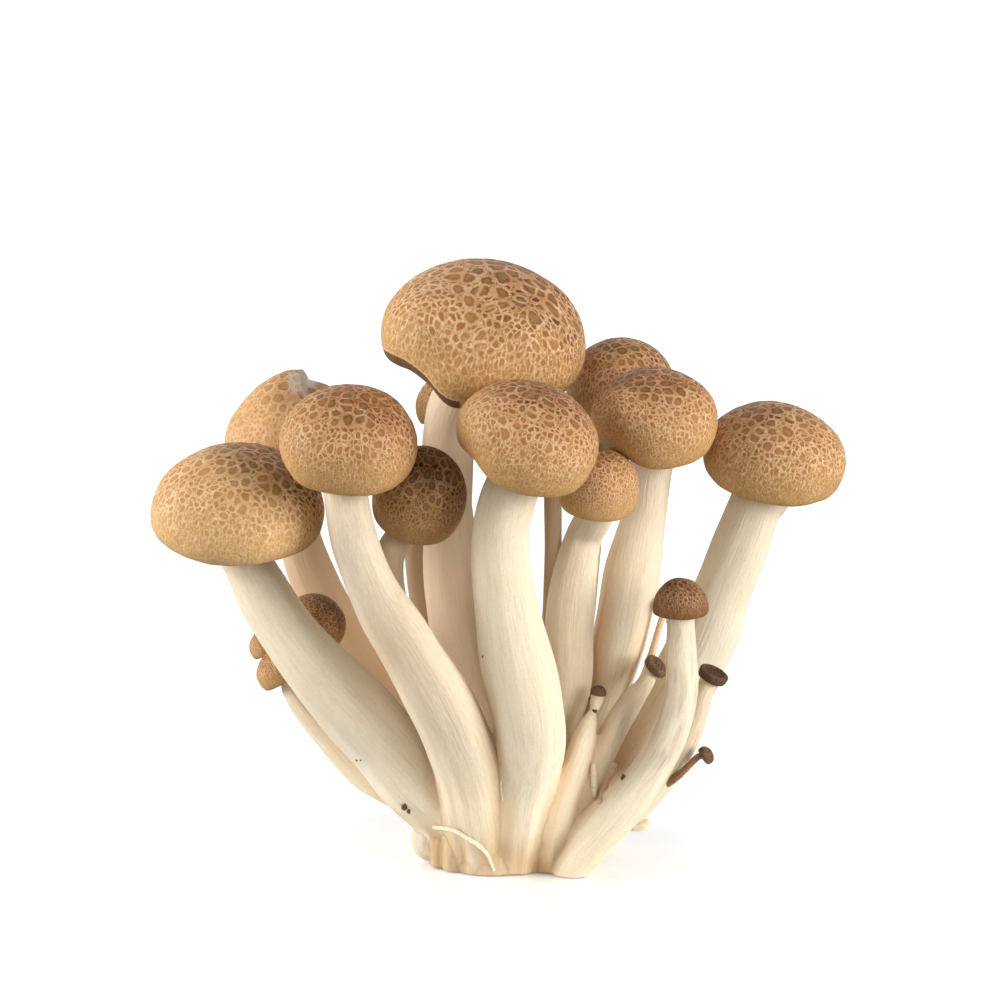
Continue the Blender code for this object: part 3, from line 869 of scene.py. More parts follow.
    def tear(self, points: np.ndarray, inside: np.ndarray) -> tuple[np.ndarray, np.ndarray]:
        """Lift the skin left of a crack over the crown, with bare flesh on the step.

        Args:
            points: The cap's points, with the two tips last.
            inside: How far each point shows flesh.

        Returns:
            The changed points and values.
        """
        x, y = points[:, 0] / self.radius, points[:, 1] / self.radius
        beside, top = x - self.TEAR_EDGE, points[:, 2] > 0
        on_side = top & (np.abs(beside) < self.TEAR_SNAP) & (y > self.TEAR_FRONT)
        height = ease(-0.75, self.TEAR_EDGE, x) * ease(self.TEAR_FRONT, self.TEAR_BACK, y) * top
        points = points.copy()
        points[:, 2] += self.TEAR_HEIGHT * height * (beside < 0)
        edge = (self.TEAR_EDGE + np.sign(beside) * 0.005) * self.radius
        points[:, 0] = np.where(on_side, edge, points[:, 0])
        worn = ease(-0.28, -0.1, beside) * (beside < 0) * ease(-0.42, -0.25, y) * ease(0.12, 0.0, y)
        strip = (beside > 0) * ease(0.2, 0.1, beside) * ease(-0.16, -0.04, y)
        bare = top * np.maximum(0.6 * worn, np.maximum(strip, on_side))
        return points, np.maximum(inside, bare[:-2] * 0.95)

    def gill_mesh(self, stem_radius: float) -> MeshData:
        """Thin blades that hang from the underside, with shorter ones between them.

        Args:
            stem_radius: The stem's radius at the seat.

        Returns:
            The mesh.
        """
        count = 4 * round(self.BLADE_FOURS * self.radius)
        stations = self.BLADE_STATIONS
        start, end = (stem_radius + 0.2) / self.radius, self.inner() - self.GAP / self.radius
        deep = self.drop * 0.86
        points, faces, depth = [], [], []
        for k in range(count):
            kind = self.BLADE_LENGTHS[k % 4]
            inner = end - (end - start) * kind
            s = np.linspace(inner, end, stations)
            t = (s - start) / (end - start)
            roof = self.CEILING_CENTRE + (self.CEILING_EDGE - self.CEILING_CENTRE) * t - 0.01
            swell = 0.72 + 0.3 * np.sin(pi * (0.15 + 0.75 * t))
            taper = np.sin(pi * np.clip((s - inner) / (end - inner + 1e-6), 0.06, 0.5))
            hang = deep * swell * (0.35 + 0.65 * taper)
            floor = np.minimum(roof - 0.03, -hang * (1 if kind == 1 else 0.9))
            angle = tau * k / count + 0.02 * np.sin(5.0 * k)
            half = self.BLADE_HALF / self.radius
            first = len(points)
            for i in range(stations):
                wave = angle + 0.012 * sin(9 * s[i] + k)
                for height, side in ((roof[i], -half), (floor[i], 0.0), (roof[i], half)):
                    turn = np.array([wave + side / s[i]])
                    points.append(self.shaped(turn, s[i : i + 1], np.array([height]))[0])
                depth += [0.0, 1.0, 0.0]
            for i in range(stations - 1):
                a, b = first + 3 * i, first + 3 * (i + 1)
                for j in range(3):
                    faces.append((a + j, b + j, b + (j + 1) % 3, a + (j + 1) % 3))
            last = first + 3 * (stations - 1)
            faces += [(first, first + 1, first + 2), (last + 2, last + 1, last)]
        return MeshData(np.array(points), faces, {"depth": np.array(depth)})


@dataclass
class Tube:
    """A stem or root along a smooth bent line, with slight lumps and flutes."""

    route: tuple[Knot, ...]
    seed: int = 0
    streak: float = 0.12
    flutes: float = 0.02
    foot_flutes: float = 0.065
    lumps: float = 0.035
    oval: float = 0.05
    # How far the tube is tinted tan: painted shade on back and inner stems, own colour on thin strands.
    tone: float = 0.0
    # Where along the stem the greyish felt colour starts to rise; started low, it paints shade.
    felt_and_shade: float = 0.62

    STEP = 0.4
    SAMPLES = 24
    BATCH = 20000
    FAR = 99.0
    SHIFT = 31.0
    BULGE = 0.4

    def __post_init__(self) -> None:
        """Sample the line and carry a frame along it."""
        knots = np.array(self.route, float)
        ends = [2 * knots[0] - knots[1], *knots, 2 * knots[-1] - knots[-2]]
        fine = []
        for a, b, c, d in zip(ends, ends[1:], ends[2:], ends[3:]):
            for t in np.linspace(0.0, 1.0, self.SAMPLES, endpoint=False):
                square, cube = (2 * a - 5 * b + 4 * c - d) * t**2, (3 * b - a - 3 * c + d) * t**3
                fine.append(0.5 * (2 * b + (c - a) * t + square + cube))
        line = np.array([*fine, knots[-1]])
        along = np.concatenate([[0.0], np.cumsum(np.linalg.norm(np.diff(line[:, :3], axis=0), axis=1))])
        self.along = np.linspace(0.0, along[-1], max(6, round(along[-1] / self.STEP)))
        line = np.stack([np.interp(self.along, along, line[:, k]) for k in range(4)], axis=1)
        self.line, self.radius = line[:, :3], line[:, 3]
        tangents = np.gradient(self.line, axis=0)
        self.tangents = tangents / np.linalg.norm(tangents, axis=1, keepdims=True)
        side = np.array([1.0, 0.0, 0.0])
        sides = []
        for tangent in self.tangents:
            side = side - tangent * side.dot(tangent)
            side /= np.linalg.norm(side)
            sides.append(side)
        self.sides = np.array(sides)
        self.across = np.cross(self.tangents, self.sides)
        self.low = (self.line - self.radius[:, None]).min(axis=0)
        self.high = (self.line + self.radius[:, None]).max(axis=0)

    def width(
        self, angle: np.ndarray, along: np.ndarray, radius: np.ndarray, height: np.ndarray,
    ) -> np.ndarray:
        """The radius where the section's oval, flutes and lumps are worked in.

        Args:
            angle: Angles round the line.
            along: Distances along it.
            radius: The plain radius there.
            height: Height over the cut face.

        Returns:
            The radius for each place.
        """
        rng = np.random.default_rng(self.seed + 7)
        phase = rng.uniform(0, tau, 8)
        shape = self.oval * np.cos(2 * angle + phase[0] + 0.04 * along)
        foot = ease(22.0, 3.0, height)
        flute = self.flutes + (self.foot_flutes - self.flutes) * foot
        shape += flute * 0.6 * np.cos(5 * angle + phase[1] + 0.05 * along)
        shape += flute * 0.5 * np.cos(9 * angle + phase[2] - 0.07 * along)
        shape += self.lumps * 0.5 * np.cos(angle + phase[3] + 0.21 * along)
        shape += self.lumps * 0.5 * np.cos(2 * angle + phase[4] - 0.33 * along)
        shape += self.lumps * 0.4 * np.cos(0.5 * along + phase[5])
        return radius * (1 + shape)

    def measure(self, points: np.ndarray) -> tuple[np.ndarray, np.ndarray, np.ndarray, np.ndarray]:
        """How points lie to the tube's surface.

        Args:
            points: The points, one per row.

        Returns:
            Their distances outside the surface, the ways out, their angles and places along.
        """
        squares = (self.line**2).sum(axis=1)
        nearest = np.empty(len(points), int)
        for start in range(0, len(points), self.BATCH):
            part = points[start : start + self.BATCH]
            nearest[start : start + self.BATCH] = np.argmin(squares[None] - 2 * part @ self.line.T, axis=1)
        offset = points - self.line[nearest]
        tangents = self.tangents[nearest]
        ahead = (offset * tangents).sum(axis=1)
        offset = offset - ahead[:, None] * tangents
        away = np.linalg.norm(offset, axis=1) + 1e-9
        across, side = self.across[nearest], self.sides[nearest]
        angle = np.arctan2((offset * across).sum(axis=1), (offset * side).sum(axis=1))
        along = self.along[nearest] + ahead
        radius = self.width(angle, along, self.radius[nearest], points[:, 2])
        beyond = np.where(nearest == len(self.line) - 1, ahead, np.where(nearest == 0, -ahead, -self.FAR))
        past = beyond > away - radius
        out = np.where(past[:, None], tangents * np.sign(ahead)[:, None], offset / away[:, None])
        return np.maximum(away - radius, beyond), out, angle, along

    def mesh(self, columns: int = 14, spacing: float = 1.2, shaped: bool = False) -> MeshData:
        """A closed tube round the line.

        Args:
            columns: How many points go round.
            spacing: The distance between rings.
            shaped: Whether the flutes and lumps are worked in.

        Returns:
            The mesh.
        """
        rows = max(3, round(self.along[-1] / spacing))
        picks = np.linspace(0, len(self.line) - 1, rows).round().astype(int)
        angle = np.tile(np.arange(columns) * tau / columns, rows)
        picked = np.repeat(picks, columns)
        radius = self.radius[picked]
        if shaped:
            radius = self.width(angle, self.along[picked], radius, self.line[picked, 2])
        ring = self.sides[picked] * np.cos(angle)[:, None] + self.across[picked] * np.sin(angle)[:, None]
        points = self.line[picked] + ring * radius[:, None]
        first = self.line[0] - self.tangents[0] * self.radius[0] * self.BULGE
        last = self.line[-1] + self.tangents[-1] * self.radius[-1] * self.BULGE
        faces = grid_faces(rows, columns)
        cap_ends(faces, rows, columns, rows * columns, rows * columns + 1)
        local = np.stack([radius * np.cos(angle), radius * np.sin(angle), self.along[picked]], axis=1)
        local = np.concatenate([local, [[0, 0, 0], [0, 0, self.along[-1]]]]) + self.SHIFT * self.seed
        # Thin tubes get a steady quarter of the cleft value, which lays the warm painted shade.
        same = {"deep": 0.25, "streak": self.streak, "tone": self.tone}
        same |= {"foot": 0.0, "high": 0.0, "stain": 0.0}
        values = {"along": local, **{key: np.full(len(local), value) for key, value in same.items()}}
        return MeshData(np.concatenate([points, [first, last]]), faces, values)


@dataclass(frozen=True)
class Mushroom:
    """A stem's route from the cut to just below its cap, and the cap."""

    name: str
    route: tuple[Knot, ...]
    cap: Cap
    skin: Skin = Skin.GOLDEN
    streak: float = 0.12
    # How far the stem is tinted tan, as painted shade where it sits at the back or inside the bunch.
    tone: float = 0.0
    # Where the greyish felt colour starts; set low on the centre-left stem, it paints its shade.
    felt_and_shade: float = 0.62

    SINK = 0.5
    SMALL_SINK = 0.2
    SMALL_CAP = 3.0

    def tube(self, seed: int) -> Tube:
        """The stem, straightened into the middle of its cap's underside.

        Args:
            seed: Which lumps it has.

        Returns:
            The tube.
        """
        axis = self.cap.axis()
        top = self.route[-1][3]
        sink = self.SMALL_SINK if self.cap.radius < self.SMALL_CAP else self.SINK
        seat = Vector(self.cap.centre) + axis * (self.cap.ceiling() + sink)
        below = Vector(self.cap.centre) - axis * (self.cap.drop * self.cap.radius + top / 2)
        route = (*self.route, (*below, top), (*seat, top))
        return Tube(route, seed, self.streak, tone=self.tone, felt_and_shade=self.felt_and_shade)


MUSHROOMS = (
    Mushroom(
        "left_front",
        (
            (-3.5, -3.0, -3.0, 3.4), (-7.3, -4.0, 7.0, 5.5), (-13.5, -7.0, 15.0, 5.9),
            (-22.5, -10.0, 26.0, 5.5), (-28.8, -10.0, 33.5, 4.6), (-33.3, -9.0, 39.5, 4.15),
            (-36.9, -7.2, 45.5, 3.55),
        ),
        Cap(
            # Its dark crown sits right and back, where the centre-left cap's shadow falls, and dark above 1
            # darkens the whole cap: partly the crown's own brown, partly painted shade.
            (-38.6, -8.0, 54.1), 12.5, 0.8, 0.27, 2, 16, (0.02, 10), gilled=True, crown=(0.45, 0.25),
            dark=1.15,
        ),
        Skin.PALE,
    ),
    Mushroom(
        "left_back",
        (
            (-4.5, 4.0, -3.0, 2.8), (-10.5, 7.0, 10.5, 4.0), (-18.5, 10.5, 23.0, 4.2),
            (-25.3, 12.0, 33.0, 3.7), (-30.2, 13.5, 43.2, 3.4), (-32.4, 14.5, 54.0, 3.1),
        ),
        Cap(
            (-32.0, 13.5, 61.6), 10.6, 0.87, 0.34, -16, 12, (0.03, 60), gilled=True, torn=True,
            crown=(0.6, 0.0), dark=0.6,
        ),
        Skin.SMOOTH, tone=0.62,
    ),
    Mushroom(
        "centre_left",
        (
            (-2.0, -6.5, -3.0, 3.6), (-3.9, -12.0, 12.0, 4.4), (-7.2, -16.5, 24.5, 4.8),
            (-13.1, -18.5, 36.0, 4.4), (-17.8, -18.0, 43.5, 3.8), (-20.8, -17.0, 51.0, 3.6),
            (-22.2, -16.0, 58.5, 3.3),
        ),
        Cap(
            (-21.7, -16.0, 65.6), 9.7, 0.87, 0.38, 4, 22, (0.02, 0), gilled=True, crown=(0.2, 0.15),
            dark=1.2,
        ),
        # The tan and the early felt colour paint the shade down this stem's middle.
        tone=0.1, felt_and_shade=0.1,
    ),
    Mushroom(
        "tucked_left",
        (
            (-1.5, -1.5, -3.0, 2.8), (-4.0, -3.0, 10.0, 3.0), (-9.5, -5.0, 23.0, 2.6),
            (-13.9, -5.5, 32.0, 2.5), (-16.1, -6.0, 40.0, 2.5), (-16.4, -6.0, 47.5, 2.4),
        ),
        Cap((-11.9, -7.0, 56.3), 6.8, 1.28, 0.62, 14, 38, (0.02, 0), crown=(0.1, 0.15), spot=1.35),
        Skin.SHADED, tone=0.4,
    ),
    Mushroom(
        "tall",
        (
            (0.0, 1.0, -3.0, 3.4), (-2.0, 3.5, 13.5, 5.0), (-4.9, 7.0, 25.5, 4.9), (-7.4, 9.0, 37.5, 4.2),
            (-8.1, 10.0, 50.0, 4.0), (-7.8, 10.0, 61.0, 4.1), (-6.2, 9.0, 68.0, 4.5),
        ),
        Cap(
            (-2.5, 5.5, 77.8), 15.3, 0.79, 0.31, 8, 18, (0.02, 30),
            (Fold(254, 12, 1.2, 0.02), Fold(222, 28, -2.7, 0.0), Fold(300, 26, -1.8, -0.05)), gilled=True,
            # Its lower-left lip carries the painted strip of shade.
            crown=(0.32, 0.05), dark=0.8, scorch=(188, 262),
        ),
        tone=0.3,
    ),
    Mushroom(
        "centre_right",
        (
            (2.2, -7.5, -3.0, 3.0), (3.6, -12.5, 12.0, 3.6), (4.5, -15.5, 20.5, 4.7),
            (3.8, -17.0, 28.0, 5.2), (1.8, -16.5, 37.0, 4.9), (0.2, -16.0, 46.0, 4.3),
            (0.0, -15.2, 52.0, 4.1), (0.9, -14.6, 56.5, 4.0),
        ),
        Cap(
            (3.9, -16.5, 66.6), 10.3, 0.75, 0.43, 14, 20, (0.02, 150), (Fold(215, 28, -1.8, -0.05),),
            gilled=True, crown=(0.15, 0.25), dark=1.12,
        ),
    ),
    Mushroom(
        "tucked_right",
        (
            (3.8, -3.0, -3.0, 2.4), (7.9, -4.0, 17.0, 2.9), (10.2, -5.0, 28.0, 3.3), (10.4, -5.2, 37.5, 3.5),
            (11.3, -5.0, 45.0, 3.1), (12.5, -4.6, 50.0, 2.6),
        ),
        Cap((14.5, -8.0, 58.0), 5.9, 1.0, 0.56, 6, 14, (0.02, 40), crown=(0.0, 0.2)),
        tone=0.1,
    ),
    Mushroom(
        "right_back",
        (
            (3.4, 5.0, -3.0, 2.5), (9.4, 9.5, 18.5, 2.5), (12.4, 13.0, 34.0, 2.3), (13.3, 15.5, 43.0, 2.2),
            (14.4, 17.5, 52.0, 2.2), (16.8, 18.2, 60.0, 2.4),
        ),
        Cap((18.8, 16.5, 69.2), 8.8, 0.9, 0.46, 0, 14, (0.03, 90), gilled=True, crown=(0.2, 0.1)),
        tone=0.4,
    ),
    Mushroom(
        "right_mid",
        (
            (5.4, 1.0, -3.0, 2.6), (12.3, 1.0, 15.5, 3.3), (16.2, 0.0, 25.5, 3.4), (18.3, -0.6, 34.5, 4.1),
            (19.8, -0.6, 43.5, 4.0), (21.6, 0.6, 52.0, 3.3), (22.4, 0.8, 58.0, 3.1),
        ),
        Cap(
            (22.9, -2.0, 67.2), 9.3, 0.79, 0.46, 0, 20, (0.02, 0), (Fold(218, 30, -1.9, -0.04),),
            gilled=True, crown=(0.05, 0.2), dark=1.15,
        ),
        tone=0.12,
    ),
    Mushroom(
        "far_right",
        (
            (7.4, 2.0, -3.0, 3.1), (15.0, 3.5, 7.5, 3.7), (23.8, 4.0, 19.0, 4.6), (30.5, 4.0, 31.0, 4.7),
            (33.8, 3.5, 40.0, 4.4), (36.8, 3.0, 48.0, 4.1), (38.8, 3.0, 53.5, 4.0),
        ),
        Cap(
            (41.3, 3.0, 60.3), 10.4, 0.83, 0.38, 12, 14, (0.03, 0), (Fold(330, 45, -0.9, 0.0),), gilled=True,
            crown=(-0.1, 0.15), dark=0.6,
        ),
    ),
    Mushroom(
        "small_front",
        (
            (8.0, -8.5, -3.0, 2.4), (13.4, -12.5, 5.0, 3.0), (17.7, -13.5, 10.5, 3.2),
            (21.7, -14.0, 16.0, 3.0), (24.8, -14.0, 22.0, 2.8), (26.6, -14.0, 28.5, 2.6),
            (26.6, -13.4, 34.0, 2.4), (26.5, -13.0, 38.0, 2.2),
        ),
        Cap((26.4, -13.0, 40.8), 4.1, 1.13, 0.13, 0, 4, (0.0, 0), spot=1.25, rim=0.95, dark=0.6),
        Skin.CHESTNUT, 0.75,
    ),
    Mushroom(
        "small_left",
        (
            (-4.6, 1.0, -3.0, 1.9), (-11.5, 2.0, 7.5, 1.7), (-17.6, 1.5, 16.5, 1.5), (-23.8, 1.2, 26.0, 1.4),
            (-27.6, 1.3, 30.5, 1.4),
        ),
        Cap((-28.0, 0.4, 35.7), 4.6, 0.96, 0.5, 34, 18, (0.04, 0)),
        Skin.SHADED, tone=0.3,
    ),
    Mushroom(
        "low_left",
        (
            (-4.0, -1.0, -3.0, 2.1), (-9.5, -2.0, 5.5, 2.3), (-14.6, -2.0, 9.0, 2.3),
            (-20.6, -1.5, 12.5, 2.4), (-25.9, -0.5, 18.0, 2.2), (-29.9, 0.8, 22.5, 1.9),
            (-31.6, 1.6, 25.0, 1.7),
        ),
        Cap((-32.9, 2.3, 28.3), 4.2, 0.8, 0.5, -26, -8, (0.06, 0)),
        tone=0.12,
    ),
    Mushroom(
        "low_left_back",
        (
            (-5.0, 3.5, -3.0, 1.6), (-12.4, 4.5, 7.0, 1.5), (-20.1, 6.0, 12.5, 1.4), (-27.8, 8.0, 20.5, 1.2),
            (-33.0, 9.0, 27.0, 1.2),
        ),
        Cap((-35.8, 9.4, 30.3), 3.0, 0.9, 0.5, -20, -8, (0.03, 0)),
        tone=0.25,
    ),
    Mushroom(
        "back_left",
        (
            (-2.0, 7.5, -3.0, 2.2), (-5.0, 12.0, 10.0, 2.1), (-9.6, 16.0, 23.5, 2.0),
            (-12.8, 17.0, 36.5, 1.6), (-13.5, 17.0, 48.0, 1.6),
        ),
        Cap((-13.7, 16.8, 53.0), 4.5, 0.85, 0.5, -4, -6, (0.03, 0)),
        tone=0.35,
    ),
    Mushroom(
        "back_centre",
        (
            (0.5, 8.0, -3.0, 1.9), (-1.6, 14.5, 17.0, 2.0), (-4.2, 18.0, 32.5, 2.0), (-6.2, 19.0, 48.5, 1.9),
            (-7.2, 19.0, 60.0, 1.9),
        ),
        Cap((-7.6, 18.6, 66.5), 5.4, 0.9, 0.5, -4, -10, (0.03, 0)),
        tone=0.35,
    ),
    Mushroom(
        "back_right",
        (
            (2.6, 8.5, -3.0, 1.7), (5.3, 14.0, 12.5, 1.7), (7.6, 17.5, 28.0, 1.5), (8.3, 18.0, 42.5, 1.4),
            (8.2, 17.5, 53.5, 1.4),
        ),
        Cap((8.1, 17.0, 60.6), 5.6, 0.9, 0.5, 2, -8, (0.03, 0)),
        tone=0.4,
    ),
    Mushroom(
        "stub_right",
        (
            (10.2, -6.0, -3.0, 2.0), (14.6, -7.0, 3.6, 2.1), (20.0, -7.4, 8.8, 2.1), (24.2, -7.0, 13.6, 2.1),
            (27.6, -6.4, 19.0, 2.1), (29.4, -5.6, 23.5, 1.9), (30.4, -5.2, 26.0, 1.5),
        ),
        Cap((32.1, -5.0, 29.3), 2.2, 0.28, 0.5, 24, 12, (0.05, 0), dish=0.3, spot=1.5, rim=0.9, dark=1.5),
        Skin.DRIED, 0.3, tone=0.1,
    ),
    Mushroom(
        "stub_mid",
        (
            (8.6, -7.5, -3.0, 2.0), (11.9, -9.0, 9.0, 2.1), (14.6, -9.2, 16.0, 2.1), (17.0, -8.4, 21.2, 2.1),
            (19.6, -7.4, 25.4, 1.8), (21.6, -6.8, 28.0, 1.3),
        ),
        Cap((23.5, -6.4, 30.8), 1.9, 0.3, 0.45, 42, 20, (0.05, 0), dish=0.1, spot=1.5, rim=0.92, dark=0.7),
        Skin.DRIED, 0.3, tone=0.12,
    ),
    Mushroom(
        "pin_front",
        (
            (6.6, -8.0, -3.0, 1.8), (8.4, -11.6, 9.5, 1.9), (10.5, -12.0, 15.4, 1.8),
            (12.0, -11.2, 19.7, 1.8), (13.1, -10.4, 22.8, 1.3), (13.8, -9.8, 24.8, 0.55),
        ),
        Cap((14.6, -9.4, 27.4), 1.2, 0.85, 0.3, 10, 0, (0.0, 0), spot=1.4, rim=0.92, dark=0.7),
        Skin.DRIED, 0.3,
    ),
    Mushroom(
        "pin_thin",
        (
            (9.2, -2.0, -3.0, 1.2), (13.8, -4.0, 10.5, 0.9), (18.0, -4.0, 19.5, 0.6),
            (20.9, -3.4, 26.0, 0.6), (22.6, -3.2, 31.0, 0.6), (23.9, -3.2, 36.0, 0.5),
        ),
        Cap((25.0, -3.4, 39.6), 1.2, 0.8, 0.5, 8, 0, (0.0, 0), spot=0.5),
        Skin.DRIED,
    ),
)


@dataclass
class Flesh:
    """The stems and the base as one grown skin over the tubes."""

    core_route: tuple[Knot, ...] = (
        (0.5, 0.0, -3.0, 11.6), (0.5, 0.0, 2.5, 11.8), (0.5, 0.0, 6.5, 11.0), (0.5, 0.0, 10.0, 9.2),
        (0.5, 0.0, 14.5, 6.3), (0.5, 0.0, 18.0, 2.9),
    )
    voxel: float = 0.62
    blend_low: float = 1.0
    blend_high: float = 0.22
    blend_foot: float = 0.3
    lobe: tuple[Knot, ...] = (
        (-7.0, -4.5, 0.6, 1.2), (-11.2, -4.8, 1.8, 1.5), (-11.6, -4.8, 4.4, 1.4), (-9.6, -4.6, 6.6, 1.2),
    )
    flutes: tuple[Knot, ...] = ((-9.2, -7.2, 5.6, 1.25), (-6.9, -9.0, 6.4, 1.45), (-4.2, -10.3, 5.6, 1.3))
    # Each entry is a centre, a reach and a strength. Some are a slit and marks on the base; others are
    # painted shade: the crease at x -10 z 6.6, between the small stems at x 11.5 and x 19, down the
    # centre-left stem at z 37 and on the front of the base at x 3. The negative ones on the left-front stem
    # at z 20.7 and 38 and on the far-right stem are painted light; those on the lobe and a flute pale them.
    stains_and_shades: tuple[tuple[Vec3, Vec3, float], ...] = (
        ((-10.2, -7.0, 2.8), (0.35, 3.0, 2.4), 1.0), ((-9.0, -8.0, 2.8), (1.0, 3.0, 2.8), 0.5),
        ((-10.0, -6.0, 6.6), (1.0, 3.0, 0.8), 0.9), ((-6.0, -10.0, 6.9), (0.6, 3.0, 1.0), 0.7),
        ((5.8, -9.0, 0.6), (1.6, 5.0, 2.2), 1.0), ((-5.5, -10.0, 1.6), (0.3, 3.0, 1.9), 0.9),
        ((-16.5, -5.0, 8.2), (3.0, 4.0, 1.2), 0.5), ((11.5, -8.0, 12.0), (1.5, 4.0, 4.0), 0.8),
        ((19.0, 2.0, 14.0), (5.0, 6.0, 6.0), 0.75), ((-11.8, -5.0, 3.4), (1.5, 4.0, 3.6), -1.0),
        ((-4.2, -10.5, 2.6), (0.9, 3.0, 2.6), -0.7), ((-16.2, -16.0, 37.0), (3.4, 8.0, 7.0), 0.42),
        ((3.0, -9.5, 3.9), (4.0, 5.0, 3.0), 0.45), ((-19.5, -7.0, 20.7), (6.0, 8.0, 8.0), -0.4),
        ((-33.0, -7.0, 38.0), (5.0, 8.0, 8.0), -0.4), ((31.9, 2.0, 35.0), (4.0, 8.0, 7.0), -0.5),
    )
    thin: tuple[str, ...] = ("pin_thin",)

    NEAR = 9
    ROUNDS = 4
    SMOOTHINGS = 2
    STRIDE = 0.6

    def tubes(self) -> dict[str, Tube]:
        """Lay out the flesh.

        Returns:
            Every stem's tube by name, and those of the core, the lobe and the flutes.
        """
        made = {m.name: m.tube(seed) for seed, m in enumerate(MUSHROOMS, 1) if m.name not in self.thin}
        made["core"] = Tube(self.core_route, 90, 0.1, 0.03, 0.035, 0.02, 0.04)
        made["lobe"] = Tube(self.lobe, 91)
        for seed, (x, y, height, radius) in enumerate(self.flutes, 92):
            top = (x * 0.98, y * 0.98, height, radius * 0.9)
            made[f"flute_{seed}"] = Tube(((x, y, -1.6, radius), (x, y, height / 2, radius), top), seed)
        return made

    def stained_and_shaded(self, points: np.ndarray) -> np.ndarray:
        """How far the bruises and the painted shade reach each point.

        Args:
            points: The points.

        Returns:
            A value up to 1 for each, and below 0 where the flesh is blanched or painted with light.
        """
        total = np.zeros(len(points))
        for centre, reach, strength in self.stains_and_shades:
            away = (points - np.array(centre)) / np.array(reach)
            total += strength * np.exp(-(away**2).sum(axis=1))
        return np.minimum(total, 1.0)

    def rough(self, tubes: dict[str, Tube]) -> bpy.types.Object:
        """Fuse plain tubes into one closed body by remeshing.

        Args:
            tubes: The tubes.

        Returns:
            A scratch object with the remeshed body.
        """
        points, faces, count = [], [], 0
        for tube in tubes.values():
            data = tube.mesh()
            points.append(data.points)
            faces += [tuple(i + count for i in face) for face in data.faces]
            count += len(data.points)
        mesh = bpy.data.meshes.new("rough")
        mesh.from_pydata((np.concatenate(points) * MM).tolist(), [], faces)
        rough = bpy.data.objects.new("rough", mesh)
        bpy.context.scene.collection.objects.link(rough)
        remesh = rough.modifiers.new("remesh", "REMESH")
        remesh.mode = "VOXEL"
        remesh.voxel_size = self.voxel * MM
        graph = bpy.context.evaluated_depsgraph_get()
        fused = bpy.data.meshes.new_from_object(rough.evaluated_get(graph))
        rough.modifiers.clear()
        rough.data = fused
        return rough

    def survey(self, points: np.ndarray, tubes: dict[str, Tube]) -> dict[str, np.ndarray]:
        """Where points lie to all tubes at once.

        Args:
            points: The points.
            tubes: The tubes.

        Returns:
            The blended distance and way out, the nearest tube's frame, and the second distance.
        """
        count = len(points)
        blend = self.blend_high + (self.blend_low - self.blend_high) * ease(30.0, 8.0, points[:, 2])
        blend = blend + (self.blend_foot - blend) * ease(7.5, 3.5, points[:, 2])
        total, pull = np.zeros(count), np.zeros((count, 3))
        best, second = np.full(count, Tube.FAR), np.full(count, Tube.FAR)
        local, (streak, tone, high) = np.zeros((count, 3)), np.zeros((3, count))
        for tube in tubes.values():
            beside = (points > tube.low - self.NEAR) & (points < tube.high + self.NEAR)
            near = np.nonzero(beside.all(axis=1))[0]
            if not len(near):
                continue
            distance, out, angle, along = tube.measure(points[near])
            weight = np.exp(-np.clip(distance, -40, 40) / blend[near])
            total[near] += weight
            pull[near] += weight[:, None] * out
            tone[near] += weight * tube.tone
            closer = distance < best[near]
            second[near] = np.where(closer, best[near], np.minimum(second[near], distance))
            best[near] = np.where(closer, distance, best[near])
            picked = near[closer]
            turn, place = angle[closer], along[closer]
            away = np.interp(place, tube.along, tube.radius)
            spot = np.stack([away * np.cos(turn), away * np.sin(turn), place], axis=1)
            local[picked] = spot + tube.SHIFT * tube.seed
            way = place / tube.along[-1]
            streak[picked] = tube.streak * ease(0.4, 0.62, way)
            high[picked] = ease(tube.felt_and_shade, tube.felt_and_shade + 0.36, way)
        tone = tone / np.maximum(total, 1e-12)
        out = pull / np.maximum(np.linalg.norm(pull, axis=1, keepdims=True), 1e-9)
        gap = -blend * np.log(np.maximum(total, 1e-12))
        seen = {"gap": gap, "out": out, "second": second, "along": local}
        return {**seen, "streak": streak, "tone": tone, "high": high}

    def grow(self, rough: bpy.types.Object, tubes: dict[str, Tube]) -> np.ndarray:
        """Settle the remeshed points on the blended surface of all tubes.

        Args:
            rough: The remeshed body.
            tubes: The tubes.

        Returns:
            The new points in millimetres.
        """
        mesh = rough.data
        points = np.empty(len(mesh.vertices) * 3)
        mesh.vertices.foreach_get("co", points)
        points = points.reshape(-1, 3) / MM
        edges = np.empty(len(mesh.edges) * 2, int)
        mesh.edges.foreach_get("vertices", edges)
        edges = edges.reshape(-1, 2)
        links = np.bincount(edges.ravel(), minlength=len(points))[:, None]
        for turn in range(self.ROUNDS):
            seen = self.survey(points, tubes)
            points = points - seen["out"] * np.clip(seen["gap"], -self.STRIDE, self.STRIDE)[:, None]
            if turn == self.ROUNDS - 1:
                break
            for _ in range(self.SMOOTHINGS):
                total = np.zeros_like(points)
                np.add.at(total, edges[:, 0], points[edges[:, 1]])
                np.add.at(total, edges[:, 1], points[edges[:, 0]])
                points = 0.5 * points + 0.5 * total / links
        return points

